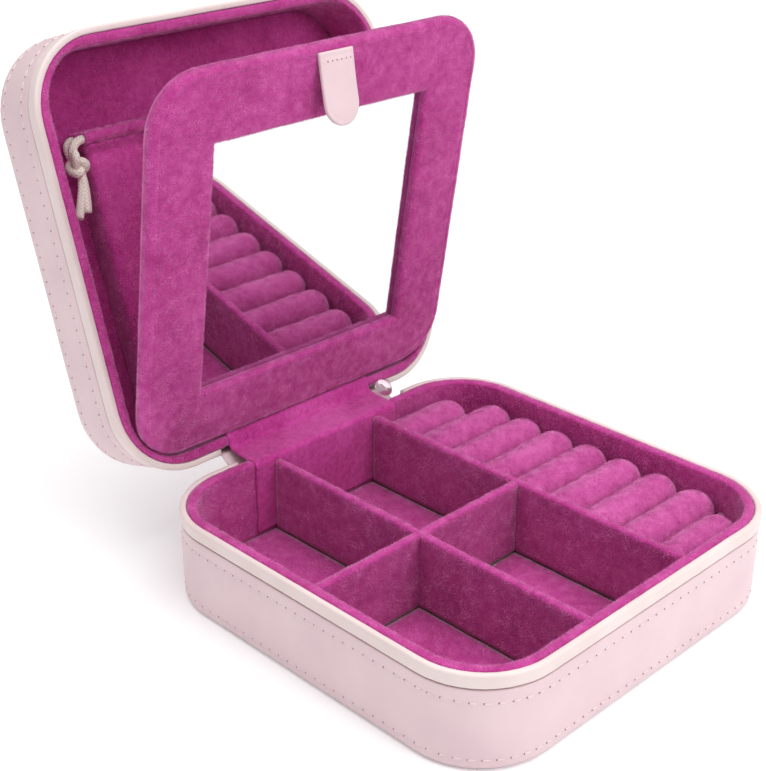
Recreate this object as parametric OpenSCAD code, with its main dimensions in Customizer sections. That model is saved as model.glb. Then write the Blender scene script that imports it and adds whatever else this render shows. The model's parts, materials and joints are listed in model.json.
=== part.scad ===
// Travel jewelry box with a hinged lid, a tilting mirror panel and ring rolls.
// Millimetres. The origin is the middle of the bottom face, +Z up, the hinge is on the +Y side.
// The lid parts are drawn closed, then opened about the hinge line.

/* [Box] */
// Outside width, side to side
box_w = 145; // [120:1:180]
// Outside depth, front to hinge side
box_d = 143; // [120:1:180]
// Height of the base, table to rim
base_h = 31.5; // [26:0.5:45]
// Height of the lid, rim to top
lid_h = 23.5; // [21:0.5:32]
// Radius of the outside corners, seen from above
corner_r = 25.5; // [18:0.5:30]

/* [Shell build] */
// Thickness of the leather
leather_t = 0.9; // [0.6:0.1:1.5]
// Thickness of the board in the side walls
board_t = 2.4; // [1.5:0.1:3.5]
// Thickness of the velvet wall lining
lining_t = 1.9; // [1.2:0.1:2.5]
// Thickness of the floor and top boards
plate_t = 2; // [1.5:0.1:3]
// Thickness of the velvet floor pads
pad_t = 1; // [0.6:0.1:2]
// Radius of the leather edge along the bottom and the top
edge_r = 1.8; // [1:0.1:3]

/* [Rolled bead] */
// Height of the bead below the rim
bead_h = 4.6; // [3:0.1:6]
// Width of the bead
bead_w = 2.2; // [1.6:0.1:3]
// How far the bead stands out from the side
bead_proud = 0.3; // [0:0.1:0.8]
// Open groove between the bead and the side leather
groove = 0.4; // [0.2:0.1:0.8]

/* [Dividers] */
// Thickness of the dividers
divider_t = 3; // [2:0.1:4]
// Drop of the divider tops below the rim
divider_drop = 2; // [1:0.1:5]

/* [Ring rolls] */
// Number of ring rolls
roll_count = 9; // [6:1:10]
// Drop of the roll tops below the rim
roll_drop = 3.5; // [2.5:0.1:8]
// Clearance round each end of a roll
roll_gap = 0.5; // [0.3:0.1:1]

/* [Mirror panel] */
// Thickness of the panel
panel_t = 4.1; // [3.8:0.1:6]
// Radius of the panel's corners
panel_r = 17.2; // [12:0.1:19]
// Clearance between the panel and the lid lining
panel_gap = 0.4; // [0.3:0.1:1]
// Width of the window
window_w = 90; // [60:1:96]
// Height of the window
window_h = 87.4; // [60:0.1:94]
// Lower edge of the window above the panel's bottom edge
window_up = 19.5; // [14:0.5:26]
// Thickness of the mirror glass
glass_t = 1; // [0.8:0.1:1.5]
// Overlap of the glass behind the frame
glass_lap = 4; // [2:0.5:8]
// Thickness of the velvet on the panel
velvet_t = 0.6; // [0.4:0.1:0.8]

/* [Pull tab] */
// Width of the tab
tab_w = 14; // [10:0.5:20]
// Length of the tab
tab_l = 23; // [16:0.5:30]
// Thickness of the tab
tab_t = 1.4; // [1:0.1:2]
// Lift of the tab off the panel, in degrees
tab_lift = 17; // [8:1:30]
// Distance from the panel's top edge to the tab's fixed end
tab_in = 1.5; // [1:0.5:4]

/* [Lid pocket] */
// Width of the pocket
pocket_w = 104; // [80:1:110]
// Length of the pocket, hinge side to mouth
pocket_l = 98; // [70:1:104]
// Depth of the pocket off the lid floor
pocket_d = 10.5; // [9:0.5:12]
// Thickness of the pocket cloth
cloth_t = 1; // [0.8:0.1:1.2]
// Diameter of the drawcord
cord_d = 2.8; // [2:0.1:3]
// Outside diameter of the hem that holds the drawcord
hem_d = 4.4; // [4.4:0.1:5]

/* [Hinge] */
// Opening angle of the lid
lid_open = 107; // [90:0.5:110]
// Angle of the mirror panel out of the lid
panel_out = 26; // [10:0.5:28]
// Distance of the hinge line behind the base
hinge_out = 3.25; // [2.5:0.05:4]
// Drop of the hinge line below the base rim
hinge_drop = 2.4; // [1.5:0.05:3.5]
// Width of the velvet hinge strip
strip_w = 65; // [40:1:80]
// Thickness of the hinge strip
strip_t = 0.8; // [0.5:0.1:1]
// Width of the gap in the two beads at the hinge
gap_w = 78; // [60:1:84]
// Shift of that gap from the middle of the box
gap_x = 2.4; // [0:0.1:4]
// Diameter of the soft bumper dome
bumper_d = 6.8; // [5:0.1:8]
// Height of the bumper dome
bumper_h = 2.2; // [1.5:0.1:3]

/* [Magnets] */
// Length of each closing magnet
magnet_l = 12; // [8:1:20]
// Height of each closing magnet
magnet_h = 3; // [2:0.5:5]
// Distance of each magnet from the middle
magnet_x = 20; // [12:1:30]

/* [Hidden] */
$fn = 64;

// colours
blush = [0.91, 0.86, 0.88];
bead_pink = [0.93, 0.89, 0.87];
fuchsia = [0.72, 0.3, 0.58];
greyboard = [0.55, 0.5, 0.45];
steel = [0.75, 0.75, 0.77];
clear = [0.85, 0.75, 0.8];
cord_cream = [0.8, 0.76, 0.69];

// walls: distances inward from the outside face
wall_t = leather_t + board_t + lining_t;
in_w = box_w - 2 * wall_t;
in_d = box_d - 2 * wall_t;
in_r = corner_r - wall_t;
bead_in = bead_w - bead_proud;
shell_gap = 0.3;              // between the two rims when the box is shut
skin_step = 0.3;              // the side leather stops this far above the table
flange_w = 8;                 // leather turned in under the board
lip_low = 1;                  // the lip is this much lower under the hinge strip
strip_side = 0.4;             // clearance beside the hinge strip
gap_x0 = gap_x - gap_w / 2;     // left end of the gap in the beads
spine_w = gap_w - 2;
hug = 0.05;                   // clearance of the cloth over the shell's edges
bumper_x = strip_w / 2 + bumper_d / 2 + 0.2;
bumper_tilt = 36;
bumper_stem = 4.5;
pad_out = 0.3;                // padding under the strip stops this far inside the face

floor_z = leather_t + plate_t + pad_t;
board_top = base_h - bead_h;
divider_top = base_h - divider_drop;
divider_x = (in_w + divider_t) / 6;   // three equal columns
hinge_y = box_d / 2 + hinge_out;
hinge_z = base_h - hinge_drop;
lid_rim = base_h + shell_gap;         // rim plane of the shut lid

roll_pitch = (in_d - 2 * roll_gap - 1.5) / roll_count;
roll_r = roll_pitch / 2;
roll_z = base_h - roll_drop - roll_r;
roll_x0 = divider_x + divider_t / 2;

// the panel lies in the lid, its pivot line on the lower edge of its back face
lid_in_r = panel_r + panel_gap;
panel_w = in_w - 2 * panel_gap + 0.2;
pivot_s = hinge_out + wall_t + strip_t + 2.25; // pivot line's distance from the hinge line
pivot_y = hinge_y - pivot_s;
panel_top_y = -in_d / 2 + panel_gap;
panel_l = pivot_y - panel_top_y;
panel_z = lid_rim;                    // front face of the folded panel
board_z = panel_z + velvet_t;
carrier_z = panel_z + panel_t - velvet_t - glass_t;
window_y = pivot_y - window_up - window_h / 2;
tab_y = panel_top_y + tab_in;

// pocket inside the lid, measured from the lid's inner floor
lid_floor = lid_rim + lid_h - leather_t - plate_t - pad_t;
pocket_z = lid_floor - pocket_d;
pocket_y1 = in_d / 2 - 5;
pocket_y0 = pocket_y1 - pocket_l;
hem_y = pocket_y0 - hem_d / 2;
hem_front_z = pocket_z + hem_d / 2;
hem_back_z = lid_floor - hem_d / 2;
cord_bore = 0.1;                      // clearance round the cord in the hem
hem_end = pocket_w / 2;
cord_turn_x = hem_end + 1.6;

// free cord: points [x, y, z] with the lid shut
tail_a = [[-47.5, -38.9, 43.1], [-49.5, -38.9, 43.1], [-51.5, -38.9, 43.1], [-53.7, -38.6, 43.1],
    [-55.4, -37.8, 43], [-56.5, -36.4, 42.9], [-57, -34.7, 42.8], [-56.9, -32.7, 42.6],
    [-56.4, -30.4, 42.5], [-56.2, -28.7, 42.2], [-56.7, -26.8, 41.7], [-57.6, -24.7, 41],
    [-58.9, -22.5, 40.2], [-60.4, -20.2, 39.4], [-61.9, -17.8, 38.7], [-63.3, -15.4, 38.2]];
tail_b = [[-47.5, -38.9, 49.2], [-49, -38.9, 49.2], [-50.5, -38.9, 49.2], [-52.9, -38.7, 48.9],
    [-54.6, -38, 48.2], [-55.8, -36.9, 47.1], [-56.5, -35.6, 45.9], [-56.8, -34, 44.6],
    [-56.7, -32.3, 43.4], [-56.4, -30.4, 42.5], [-56.3, -28.7, 41.9], [-56.6, -26.6, 41.2],
    [-57.1, -24.2, 40.5], [-57.8, -21.7, 39.8], [-58.5, -19.1, 39.3], [-59.2, -16.6, 39]];
knot_at = [-56.4, -31.4, 42.8];
cord_shift = [52 - hem_end, hem_y + 38.9, hem_front_z - 43.1]; // moves the free cord with the hem
knot_r = 4;
cord_in = 4.5;                        // the tails begin this far inside the hem

// ---- helpers ----

module rounded(w, d, r) {
    square([w, d - 2 * r], center = true);
    square([w - 2 * r, d], center = true);
    for (x = [-1, 1], y = [-1, 1]) translate([x * (w / 2 - r), y * (d / 2 - r)]) circle(r);
}

module plate(inset, z0, t) {
    translate([0, 0, z0]) linear_extrude(t)
        rounded(box_w - 2 * inset, box_d - 2 * inset, corner_r - inset);
}

// sweeps a section round the outside face: section x is the distance outward, y is the height
module around() {
    hx = box_w / 2 - corner_r;
    hy = box_d / 2 - corner_r;
    for (s = [0, 1]) rotate(s * 180) {
        translate([box_w / 2, hy, 0]) rotate([90, 0, 0]) linear_extrude(2 * hy) children();
        translate([-hx, box_d / 2, 0]) rotate([90, 0, 90]) linear_extrude(2 * hx) children();
    }
    for (c = [[hx, hy, 0], [-hx, hy, 90], [-hx, -hy, 180], [hx, -hy, 270]])
        translate([c[0], c[1], 0]) rotate(c[2]) rotate_extrude(angle = 90)
            translate([corner_r, 0]) children();
}

// leather side with its turned-in flange and round edge, drawn for the base
module side_section(h) {
    difference() {
        union() {
            translate([-flange_w, skin_step]) square([flange_w - edge_r, h - skin_step]);
            translate([-edge_r, skin_step + edge_r]) square([edge_r, h - skin_step - edge_r]);
            translate([-edge_r, skin_step + edge_r]) circle(edge_r);
        }
        translate([-flange_w - 1, leather_t]) square([flange_w + 1 - leather_t, h]);
    }
}

module bead_section(top) {
    r = bead_w / 2;
    translate([bead_proud - r, top - r]) circle(r);
    translate([bead_proud - r, top - bead_h + r]) circle(r);
    translate([-bead_in, top - bead_h + r]) square([bead_w, bead_h - bead_w]);
}

// closed loop of points at distance t on both sides of a path
function unit(v) = v / norm(v);
function left_of(v) = [-v[1], v[0]];
function dir_at(p, i) = unit(p[min(i + 1, len(p) - 1)] - p[max(i - 1, 0)]);
function side_points(p, t) = [for (i = [0 : len(p) - 1]) p[i] + t * left_of(dir_at(p, i))];
function reversed(p) = [for (i = [len(p) - 1 : -1 : 0]) p[i]];
function band(p, t) = concat(side_points(p, t / 2), reversed(side_points(p, -t / 2)));

// a band of cloth across the hinge: the path is in [y, z], the width is along x
module cloth_band(path, t, w) {
    rotate([90, 0, 90]) translate([0, 0, -w / 2]) linear_extrude(w) polygon(band(path, t));
}

// [y, z] of a point on the opened lid: s from the hinge line, h in from the rim plane
function lid_point(s, h) = let (k = h + hinge_drop + shell_gap)
    [hinge_y - s * cos(lid_open) + k * sin(lid_open), hinge_z + s * sin(lid_open) + k * cos(lid_open)];

// [y, z] of a point on the tilted panel: u up from the pivot, v out behind the back face
function panel_point(u, v) =
    lid_point(pivot_s + u * cos(panel_out) + v * sin(panel_out),
        panel_t - u * sin(panel_out) + v * cos(panel_out));

module turn_about(y, z, a) {
    translate([0, y, z]) rotate([a, 0, 0]) translate([0, -y, -z]) children();
}

module on_lid() turn_about(hinge_y, hinge_z, -lid_open) children();
module on_panel() on_lid() turn_about(pivot_y, panel_z + panel_t, panel_out) children();

// tube of round section along a route of points
function route_dir(p, i) = unit(p[min(i + 1, len(p) - 1)] - p[max(i - 1, 0)]);
function ring_at(p, i, r, n) = let (
        d = route_dir(p, i),
        u = unit(cross(d, [0, 0, 1] + [0.02, 0.01, 0])),
        v = cross(d, u))
    [for (k = [0 : n - 1]) p[i] + r * (cos(360 * k / n) * u + sin(360 * k / n) * v)];

module tube(p, d, n = 8) {
    last = len(p) - 1;
    polyhedron(
        points = [for (i = [0 : last]) each ring_at(p, i, d / 2, n)],
        faces = concat(
            [[for (k = [n - 1 : -1 : 0]) k]],
            [for (i = [0 : last - 1], k = [0 : n - 1])
                [i * n + k, i * n + (k + 1) % n, (i + 1) * n + (k + 1) % n, (i + 1) * n + k]],
            [[for (k = [0 : n - 1]) last * n + k]]));
}

// space under the hinge strip on the rim of a shell, drawn for the base
module strip_notch(z0, z1) {
    half = strip_w / 2 + strip_side;
    translate([-half, in_d / 2 - 1, z0]) cube([2 * half, wall_t + 2, z1 - z0]);
}

module magnet_at(x, z, gap = 0) {
    t = board_t - 0.8;
    translate([x - magnet_l / 2 - gap, -box_d / 2 + leather_t + 0.4 - gap, z])
        cube([magnet_l + 2 * gap, t + 2 * gap, magnet_h]);
}

// ---- base ----

module base_bottom_cover() color(blush)
    plate(flange_w + 0.2, 0, leather_t);

module base_side_wrap() color(blush)
    around() side_section(board_top - groove);

module base_floor_board() color(greyboard)
    plate(leather_t, leather_t, plate_t);

module base_wall_board() color(greyboard) difference() {
    z0 = leather_t + plate_t;
    plate(leather_t, z0, board_top - z0);
    plate(leather_t + board_t, z0 - 1, board_top);
    for (s = [-1, 1]) magnet_at(s * magnet_x, board_top - magnet_h, 0.1);
}

module base_bead() color(bead_pink) difference() {
    around() bead_section(base_h);
    translate([gap_x0, 0, board_top - 1]) cube([gap_w, box_d, bead_h + 2]);
}

module base_lining() color(fuchsia) difference() {
    union() {
        plate(leather_t + board_t, leather_t + plate_t, base_h - leather_t - plate_t);
        plate(bead_in + hug, board_top, bead_h);
        translate([-strip_w / 2, in_d / 2, board_top])
            cube([strip_w, wall_t - pad_out, bead_h - lip_low]);
    }
    translate([0, 0, -1]) linear_extrude(base_h + 2) rounded(in_w, in_d, in_r);
    strip_notch(base_h - lip_low, base_h + 1);
}

module base_floor_pad() color(fuchsia)
    plate(wall_t + hug, leather_t + plate_t, pad_t);

module base_magnets() color(steel)
    for (s = [-1, 1]) magnet_at(s * magnet_x, board_top - magnet_h);

// dividers run from the front lining to the hinge strip
divider_y0 = -in_d / 2;
divider_y1 = in_d / 2 - strip_t - 2 * hug;
divider_h = divider_top - floor_z;

module divider_bar(x0, y0, w, d) {
    r = divider_t / 2;
    translate([x0, y0, floor_z]) cube([w, d, divider_h - r]);
    if (w > d) translate([x0, y0 + r, divider_top - r]) rotate([0, 90, 0]) cylinder(w, r, r);
    else translate([x0 + r, y0, divider_top - r]) rotate([-90, 0, 0]) cylinder(d, r, r);
}

module ring_divider() color(fuchsia)
    divider_bar(divider_x - divider_t / 2, divider_y0, divider_t, divider_y1 - divider_y0);

module centre_divider() color(fuchsia) difference() {
    divider_bar(-divider_x - divider_t / 2, divider_y0, divider_t, divider_y1 - divider_y0);
    translate([-divider_x - divider_t, -divider_t / 2, floor_z + divider_h / 2])
        cube([2 * divider_t, divider_t, divider_h]);
}

module cross_divider() color(fuchsia) difference() {
    divider_bar(-in_w / 2, -divider_t / 2, in_w / 2 + divider_x - divider_t / 2, divider_t);
    translate([-divider_x - divider_t / 2, -divider_t, floor_z - 1])
        cube([divider_t, 2 * divider_t, divider_h / 2 + 1]);
}

// foam bed that carries the rolls: a block with a groove for each roll
function roll_y(i) = ((roll_count + 1) / 2 - i) * roll_pitch;

module ring_bed() color(fuchsia) difference() {
    translate([0, 0, floor_z]) linear_extrude(roll_z - roll_r * 0.5 - floor_z) intersection() {
        rounded(in_w - 2 * roll_gap, in_d - 2 * roll_gap - 2 * strip_t, in_r - roll_gap);
        translate([roll_x0, -in_d / 2]) square([in_w / 2, in_d]);
    }
    for (i = [1 : roll_count])
        translate([roll_x0 - 1, roll_y(i), roll_z]) rotate([0, 90, 0]) cylinder(in_w / 2, roll_r + hug, roll_r + hug);
}

// the end of a roll is round and follows the corner of the lining
module ring_roll(i) {
    y = abs(roll_y(i));
    corner_y = in_d / 2 - in_r;
    reach = in_r - roll_gap - roll_r;
    side_x = y > corner_y ? sqrt(max(reach * reach - (y - corner_y) * (y - corner_y), 1)) : reach;
    x1 = in_w / 2 - in_r + side_x;
    if (i <= roll_count) color(fuchsia) {
        translate([roll_x0, roll_y(i), roll_z]) rotate([0, 90, 0]) rotate_extrude() {
            square([roll_r, x1 - roll_x0]);
            translate([0, x1 - roll_x0]) intersection() { circle(roll_r); square(roll_r); }
        }
    }
}

// ---- hinge ----

// quarter turn of radius r about a [y, z] point, from angle a to angle b
function turn(c, r, a, b, n = 4) = [for (i = [0 : n]) let (t = a + (b - a) * i / n) c + r * [cos(t), sin(t)]];

strip_path = let (
        off = strip_t / 2 + hug,
        edge = [in_d / 2, base_h - lip_low],
        lid_edge = lid_point(hinge_out + wall_t, lip_low))
    concat(
        [[edge[0] - off, floor_z + 1]],
        turn(edge, off, 180, 90),
        [[box_d / 2 - pad_out, edge[1] + off], [hinge_y, edge[1] + off], lid_point(hinge_out - 0.3, 0.1),
         lid_point(hinge_out + pad_out, lip_low - off)],
        turn(lid_edge, off, 270 - lid_open, 180 - lid_open),
        [lid_point(hinge_out + wall_t + off, lip_low + 11)]);

module hinge_strip() color(fuchsia) cloth_band(strip_path, strip_t, strip_w);

spine_path = let (
        off = leather_t / 2 + hug,
        y0 = box_d / 2 + off)
    [[y0, 8], [y0, base_h - 8], [y0 + 0.9, base_h - 6], [y0 + 2.6, base_h - 4.8],
     lid_point(hinge_out - off - 0.4, 1.8), lid_point(hinge_out - off, 4), lid_point(hinge_out - off, 14)];

module hinge_spine() color(blush) translate([gap_x, 0, 0]) cloth_band(spine_path, leather_t, spine_w);

// a soft clear dome at the end of the strip, on a stem that stands on the spine
module hinge_bumper() color(clear) translate([bumper_x, hinge_y + 0.2, base_h + 1.5]) rotate([bumper_tilt, 0, 0]) {
    ball_r = (bumper_d * bumper_d / 4 + bumper_h * bumper_h) / (2 * bumper_h);
    intersection() {
        translate([0, 0, bumper_h - ball_r]) sphere(ball_r);
        cylinder(2 * ball_r, bumper_d / 2, bumper_d / 2);
    }
    translate([-bumper_d / 4, 0, -bumper_stem]) cylinder(bumper_stem, 1, 1);
}

// ---- lid, drawn shut ----

module flip_lid() translate([0, 0, lid_rim + lid_h]) mirror([0, 0, 1]) children();

module lid_top_cover() color(blush) on_lid()
    flip_lid() plate(flange_w + 0.2, 0, leather_t);

module lid_side_wrap() color(blush) on_lid()
    flip_lid() around() side_section(lid_h - bead_h - groove);

module lid_top_board() color(greyboard) on_lid()
    flip_lid() plate(leather_t, leather_t, plate_t);

lid_board_low = lid_rim + bead_h;

module lid_wall_board() color(greyboard) on_lid() difference() {
    h = lid_h - leather_t - plate_t - bead_h;
    plate(leather_t, lid_board_low, h);
    plate(leather_t + board_t, lid_board_low - 1, h + 2);
    for (s = [-1, 1]) magnet_at(s * magnet_x, lid_board_low, 0.1);
}

module lid_bead() color(bead_pink) on_lid() difference() {
    around() bead_section(lid_rim + bead_h);
    translate([gap_x0, 0, lid_rim - 1]) cube([gap_w, box_d, bead_h + 2]);
}

module lid_lining() color(fuchsia) on_lid() difference() {
    union() {
        plate(leather_t + board_t, lid_rim, lid_h - leather_t - plate_t);
        plate(bead_in + hug, lid_rim, bead_h);
        translate([-strip_w / 2, in_d / 2, lid_rim + lip_low])
            cube([strip_w, wall_t - pad_out, bead_h - lip_low]);
    }
    translate([0, 0, lid_rim - 1]) linear_extrude(lid_h + 2) rounded(in_w, in_d, lid_in_r);
    strip_notch(lid_rim - 1, lid_rim + lip_low);
}

module lid_floor_lining() color(fuchsia) on_lid()
    translate([0, 0, lid_floor]) linear_extrude(pad_t) rounded(in_w, in_d, lid_in_r);

module lid_magnets() color(steel) on_lid()
    for (s = [-1, 1]) magnet_at(s * magnet_x, lid_board_low);

// the pocket is a flat pouch on the lid floor, open at its mouth
module pocket() color(fuchsia) on_lid() difference() {
    translate([-pocket_w / 2, pocket_y0, pocket_z]) cube([pocket_w, pocket_l, pocket_d]);
    translate([-pocket_w / 2 + cloth_t, pocket_y0 - 1, pocket_z + cloth_t])
        cube([pocket_w - 2 * cloth_t, pocket_l + 1 - cloth_t, pocket_d - 2 * cloth_t]);
}

// a hem along each side of the mouth: a tube for the cord and the cloth that joins it to the pocket
module pocket_hem() color(fuchsia) on_lid()
    for (side = [0, 1]) {
        z = side == 0 ? hem_front_z : hem_back_z;
        web_z = side == 0 ? pocket_z : lid_floor - cloth_t;
        translate([-hem_end, hem_y, 0]) rotate([90, 0, 90]) linear_extrude(2 * hem_end) difference() {
            union() {
                translate([0, z]) circle(hem_d / 2);
                translate([0, web_z]) square([hem_d / 2, cloth_t]);
            }
            translate([0, z]) circle(cord_d / 2 + cord_bore);
        }
    }

// the cord inside the hem goes out along the front, turns and comes back
module drawcord() color(cord_cream) on_lid() {
    turn_r = (hem_back_z - hem_front_z) / 2;
    for (z = [hem_front_z, hem_back_z]) translate([cord_in - hem_end, hem_y, z]) rotate([0, 90, 0])
        cylinder(hem_end + cord_turn_x - cord_in, cord_d / 2, cord_d / 2);
    translate([cord_turn_x, hem_y, hem_front_z + turn_r]) rotate([90, 90, 0])
        rotate_extrude(angle = 180) translate([turn_r, 0]) circle(cord_d / 2);
}

module drawcord_tail_a() color(cord_cream) on_lid() translate(cord_shift) tube(tail_a, cord_d);
module drawcord_tail_b() color(cord_cream) on_lid() translate(cord_shift) tube(tail_b, cord_d);
module drawcord_knot() color(cord_cream) on_lid() translate(knot_at + cord_shift) sphere(knot_r);

// ---- mirror panel, drawn folded into the lid ----

module panel_outline(inset) {
    translate([0, pivot_y - panel_l / 2])
        rounded(panel_w - 2 * inset, panel_l - 2 * inset, panel_r - inset);
}

module window(grow) {
    translate([0, window_y]) square([window_w + 2 * grow, window_h + 2 * grow], center = true);
}

module panel_layer(z0, t) on_panel() translate([0, 0, z0]) linear_extrude(t) children();

// velvet over the front, the outer edge and the window edge
module panel_front_velvet() color(fuchsia) {
    panel_layer(panel_z, velvet_t) difference() { panel_outline(0); window(0); }
    panel_layer(board_z, carrier_z + glass_t - board_z) difference() {
        panel_outline(0);
        panel_outline(velvet_t);
    }
    panel_layer(board_z, carrier_z - board_z) difference() { window(velvet_t); window(0); }
}

module panel_frame_board() color(greyboard)
    panel_layer(board_z, carrier_z - board_z) difference() {
        panel_outline(velvet_t);
        window(velvet_t);
    }

module panel_glass_carrier() color(greyboard)
    panel_layer(carrier_z, glass_t) difference() {
        panel_outline(velvet_t);
        window(glass_lap);
    }

module mirror_glass() color("lightcyan")
    panel_layer(carrier_z, glass_t) window(glass_lap);

module panel_back_velvet() color(fuchsia)
    panel_layer(carrier_z + glass_t, velvet_t) panel_outline(0);

tape_t = 0.4;
tape_path = let (s_in = hinge_out + wall_t + strip_t + tape_t)
    [panel_point(9, tape_t / 2), panel_point(1.5, tape_t / 2), panel_point(0.4, tape_t / 2 + 0.15),
     lid_point(pivot_s - 0.5, panel_t + 1.1), lid_point(s_in + 0.5, panel_t + 2.4),
     lid_point(s_in, panel_t + 3.6), lid_point(s_in, panel_t + 7)];

module panel_hinge_tape() color(fuchsia) cloth_band(tape_path, tape_t, strip_w - 4);

// leather tab with a round end, hinged on its stitch line
module pull_tab() color(blush) on_panel()
    turn_about(tab_y, panel_z, -tab_lift) translate([0, 0, panel_z - tab_t - 0.05]) linear_extrude(tab_t) {
        translate([-tab_w / 2, tab_y]) square([tab_w, tab_l - tab_w / 2]);
        translate([0, tab_y + tab_l - tab_w / 2]) circle(tab_w / 2);
    }

base_bottom_cover();
base_side_wrap();
base_floor_board();
base_wall_board();
base_bead();
base_lining();
base_floor_pad();
base_magnets();
ring_divider();
centre_divider();
cross_divider();
ring_bed();
ring_roll(1);  // ring_roll_1
ring_roll(2);  // ring_roll_2
ring_roll(3);  // ring_roll_3
ring_roll(4);  // ring_roll_4
ring_roll(5);  // ring_roll_5
ring_roll(6);  // ring_roll_6
ring_roll(7);  // ring_roll_7
ring_roll(8);  // ring_roll_8
ring_roll(9);  // ring_roll_9
hinge_strip();
hinge_spine();
hinge_bumper();
lid_top_cover();
lid_side_wrap();
lid_top_board();
lid_wall_board();
lid_bead();
lid_lining();
lid_floor_lining();
lid_magnets();
pocket();
pocket_hem();
drawcord();
drawcord_tail_a();
drawcord_tail_b();
drawcord_knot();
panel_front_velvet();
panel_frame_board();
panel_glass_carrier();
mirror_glass();
panel_back_velvet();
panel_hinge_tape();
pull_tab();
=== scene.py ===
import json
import math
import bpy
import bmesh
import numpy as np
from mathutils import Matrix, Vector, noise


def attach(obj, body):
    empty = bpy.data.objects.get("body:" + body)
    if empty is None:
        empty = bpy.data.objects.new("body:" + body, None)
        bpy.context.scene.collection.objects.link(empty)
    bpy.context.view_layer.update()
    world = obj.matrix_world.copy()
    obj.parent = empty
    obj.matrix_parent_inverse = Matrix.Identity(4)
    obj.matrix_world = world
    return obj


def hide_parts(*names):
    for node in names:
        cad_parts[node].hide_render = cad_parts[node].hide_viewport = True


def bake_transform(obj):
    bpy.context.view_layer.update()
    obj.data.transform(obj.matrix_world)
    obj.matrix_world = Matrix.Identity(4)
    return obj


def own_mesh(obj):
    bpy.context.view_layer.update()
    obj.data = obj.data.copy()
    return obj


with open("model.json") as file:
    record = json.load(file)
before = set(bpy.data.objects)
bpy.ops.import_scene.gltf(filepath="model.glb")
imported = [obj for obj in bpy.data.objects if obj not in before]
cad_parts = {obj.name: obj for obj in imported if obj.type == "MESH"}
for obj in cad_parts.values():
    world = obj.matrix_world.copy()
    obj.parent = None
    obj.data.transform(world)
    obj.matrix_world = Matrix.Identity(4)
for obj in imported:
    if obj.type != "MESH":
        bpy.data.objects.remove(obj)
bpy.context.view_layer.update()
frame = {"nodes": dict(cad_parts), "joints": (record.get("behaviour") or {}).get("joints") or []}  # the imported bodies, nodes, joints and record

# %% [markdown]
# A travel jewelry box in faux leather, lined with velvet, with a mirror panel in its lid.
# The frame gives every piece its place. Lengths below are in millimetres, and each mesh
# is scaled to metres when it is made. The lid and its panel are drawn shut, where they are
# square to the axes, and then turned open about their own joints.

MM = 0.001
joints = {j["name"]: j for j in frame["joints"]}


def turn(joint, degrees):
    centre = Vector(joints[joint]["pos_m"])
    return Matrix.Translation(centre) @ Matrix.Rotation(math.radians(degrees), 4,
                                                        "X") @ Matrix.Translation(-centre)


STAY = Matrix.Identity(4)
OPEN = turn("lid_hinge", -joints["lid_hinge"]["range_deg"][1])
TILT = turn("panel_tilt", -joints["panel_tilt"]["range_deg"][0]) @ OPEN
tab_lift = 17
LIFT = turn("tab_flex", -tab_lift) @ TILT


def size(node, place=STAY):
    """Lowest and highest corner of a CAD node in millimetres, with its opening turn undone."""
    back = np.array(place.inverted())
    points = np.array([v.co for v in frame["nodes"][node].data.vertices], float)
    points = (points @ back[:3, :3].T + back[:3, 3]) / MM
    return points.min(0), points.max(0)


print("shut lid:", *[np.round(c, 1) for c in size("lid_side_wrap", OPEN)])
print("folded panel:", *[np.round(c, 1) for c in size("panel_back_velvet", TILT)])

# %% [markdown]
# The camera stands in front of the box's left corner, a little above it, and looks down
# into the open trays. It is placed by a direction, a distance and a small offset, so that
# each can be understood and changed by itself.

# %% Camera
azimuth, height, roll = map(math.radians, (-44.88, 25.55, 0.09))
back_way = Vector((math.sin(azimuth) * math.cos(height), -math.cos(azimuth) * math.cos(height),
                   math.sin(height)))
right_way = Vector((0, 0, 1)).cross(back_way).normalized()
up_way = back_way.cross(right_way)
right_way, up_way = (right_way * math.cos(roll) + up_way * math.sin(roll),
                     up_way * math.cos(roll) - right_way * math.sin(roll))
camera = bpy.data.objects.new("camera", bpy.data.cameras.new("camera"))
bpy.context.scene.collection.objects.link(camera)
place = Matrix((right_way, up_way, back_way)).transposed().to_4x4()
place.translation = (back_way * 478.63 + right_way * -27.46 + up_way * 64.35) * MM
camera.matrix_world = place
camera.data.lens = 68.894
camera.data.clip_start = 0.01
bpy.context.scene.camera = camera
print("camera at", [round(c, 3) for c in camera.location], "lens", round(camera.data.lens, 1))

# %% [markdown]
# Every finish is a small node tree on the Principled shader. The pattern reads Object
# coordinates, so it stays on the piece and keeps its real size. Colours come as screen
# values and are turned into the linear values that the shader wants.

# %% Colours and node helpers
def screen(r, g, b):
    return [((c / 255) / 12.92 if c / 255 <= 0.04045 else ((c / 255 + 0.055) / 1.055) ** 2.4)
            for c in (r, g, b)] + [1]


def finish(name, **sockets):
    made = bpy.data.materials.new(name)
    made.use_nodes = True
    shader = made.node_tree.nodes["Principled BSDF"]
    for socket, value in sockets.items():
        shader.inputs[socket.replace("_", " ")].default_value = value
    return made, made.node_tree, shader


def add(tree, kind, settings=None, **inputs):
    made = tree.nodes.new(kind)
    for key, value in (settings or {}).items():
        setattr(made, key, value)
    for key, value in inputs.items():
        socket = (made.inputs[int(key[1:])] if key[0] == "i" and key[1:].isdigit()
                  else made.inputs[key.replace("_", " ")])
        if isinstance(value, bpy.types.NodeSocket):
            tree.links.new(value, socket)
        else:
            socket.default_value = value
    return made


def grain(tree, coords, scale, detail=3, rough=0.5, distortion=0.0):
    return add(tree, "ShaderNodeTexNoise", Vector=coords, Scale=scale, Detail=detail, Roughness=rough,
               Distortion=distortion).outputs[0]


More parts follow.
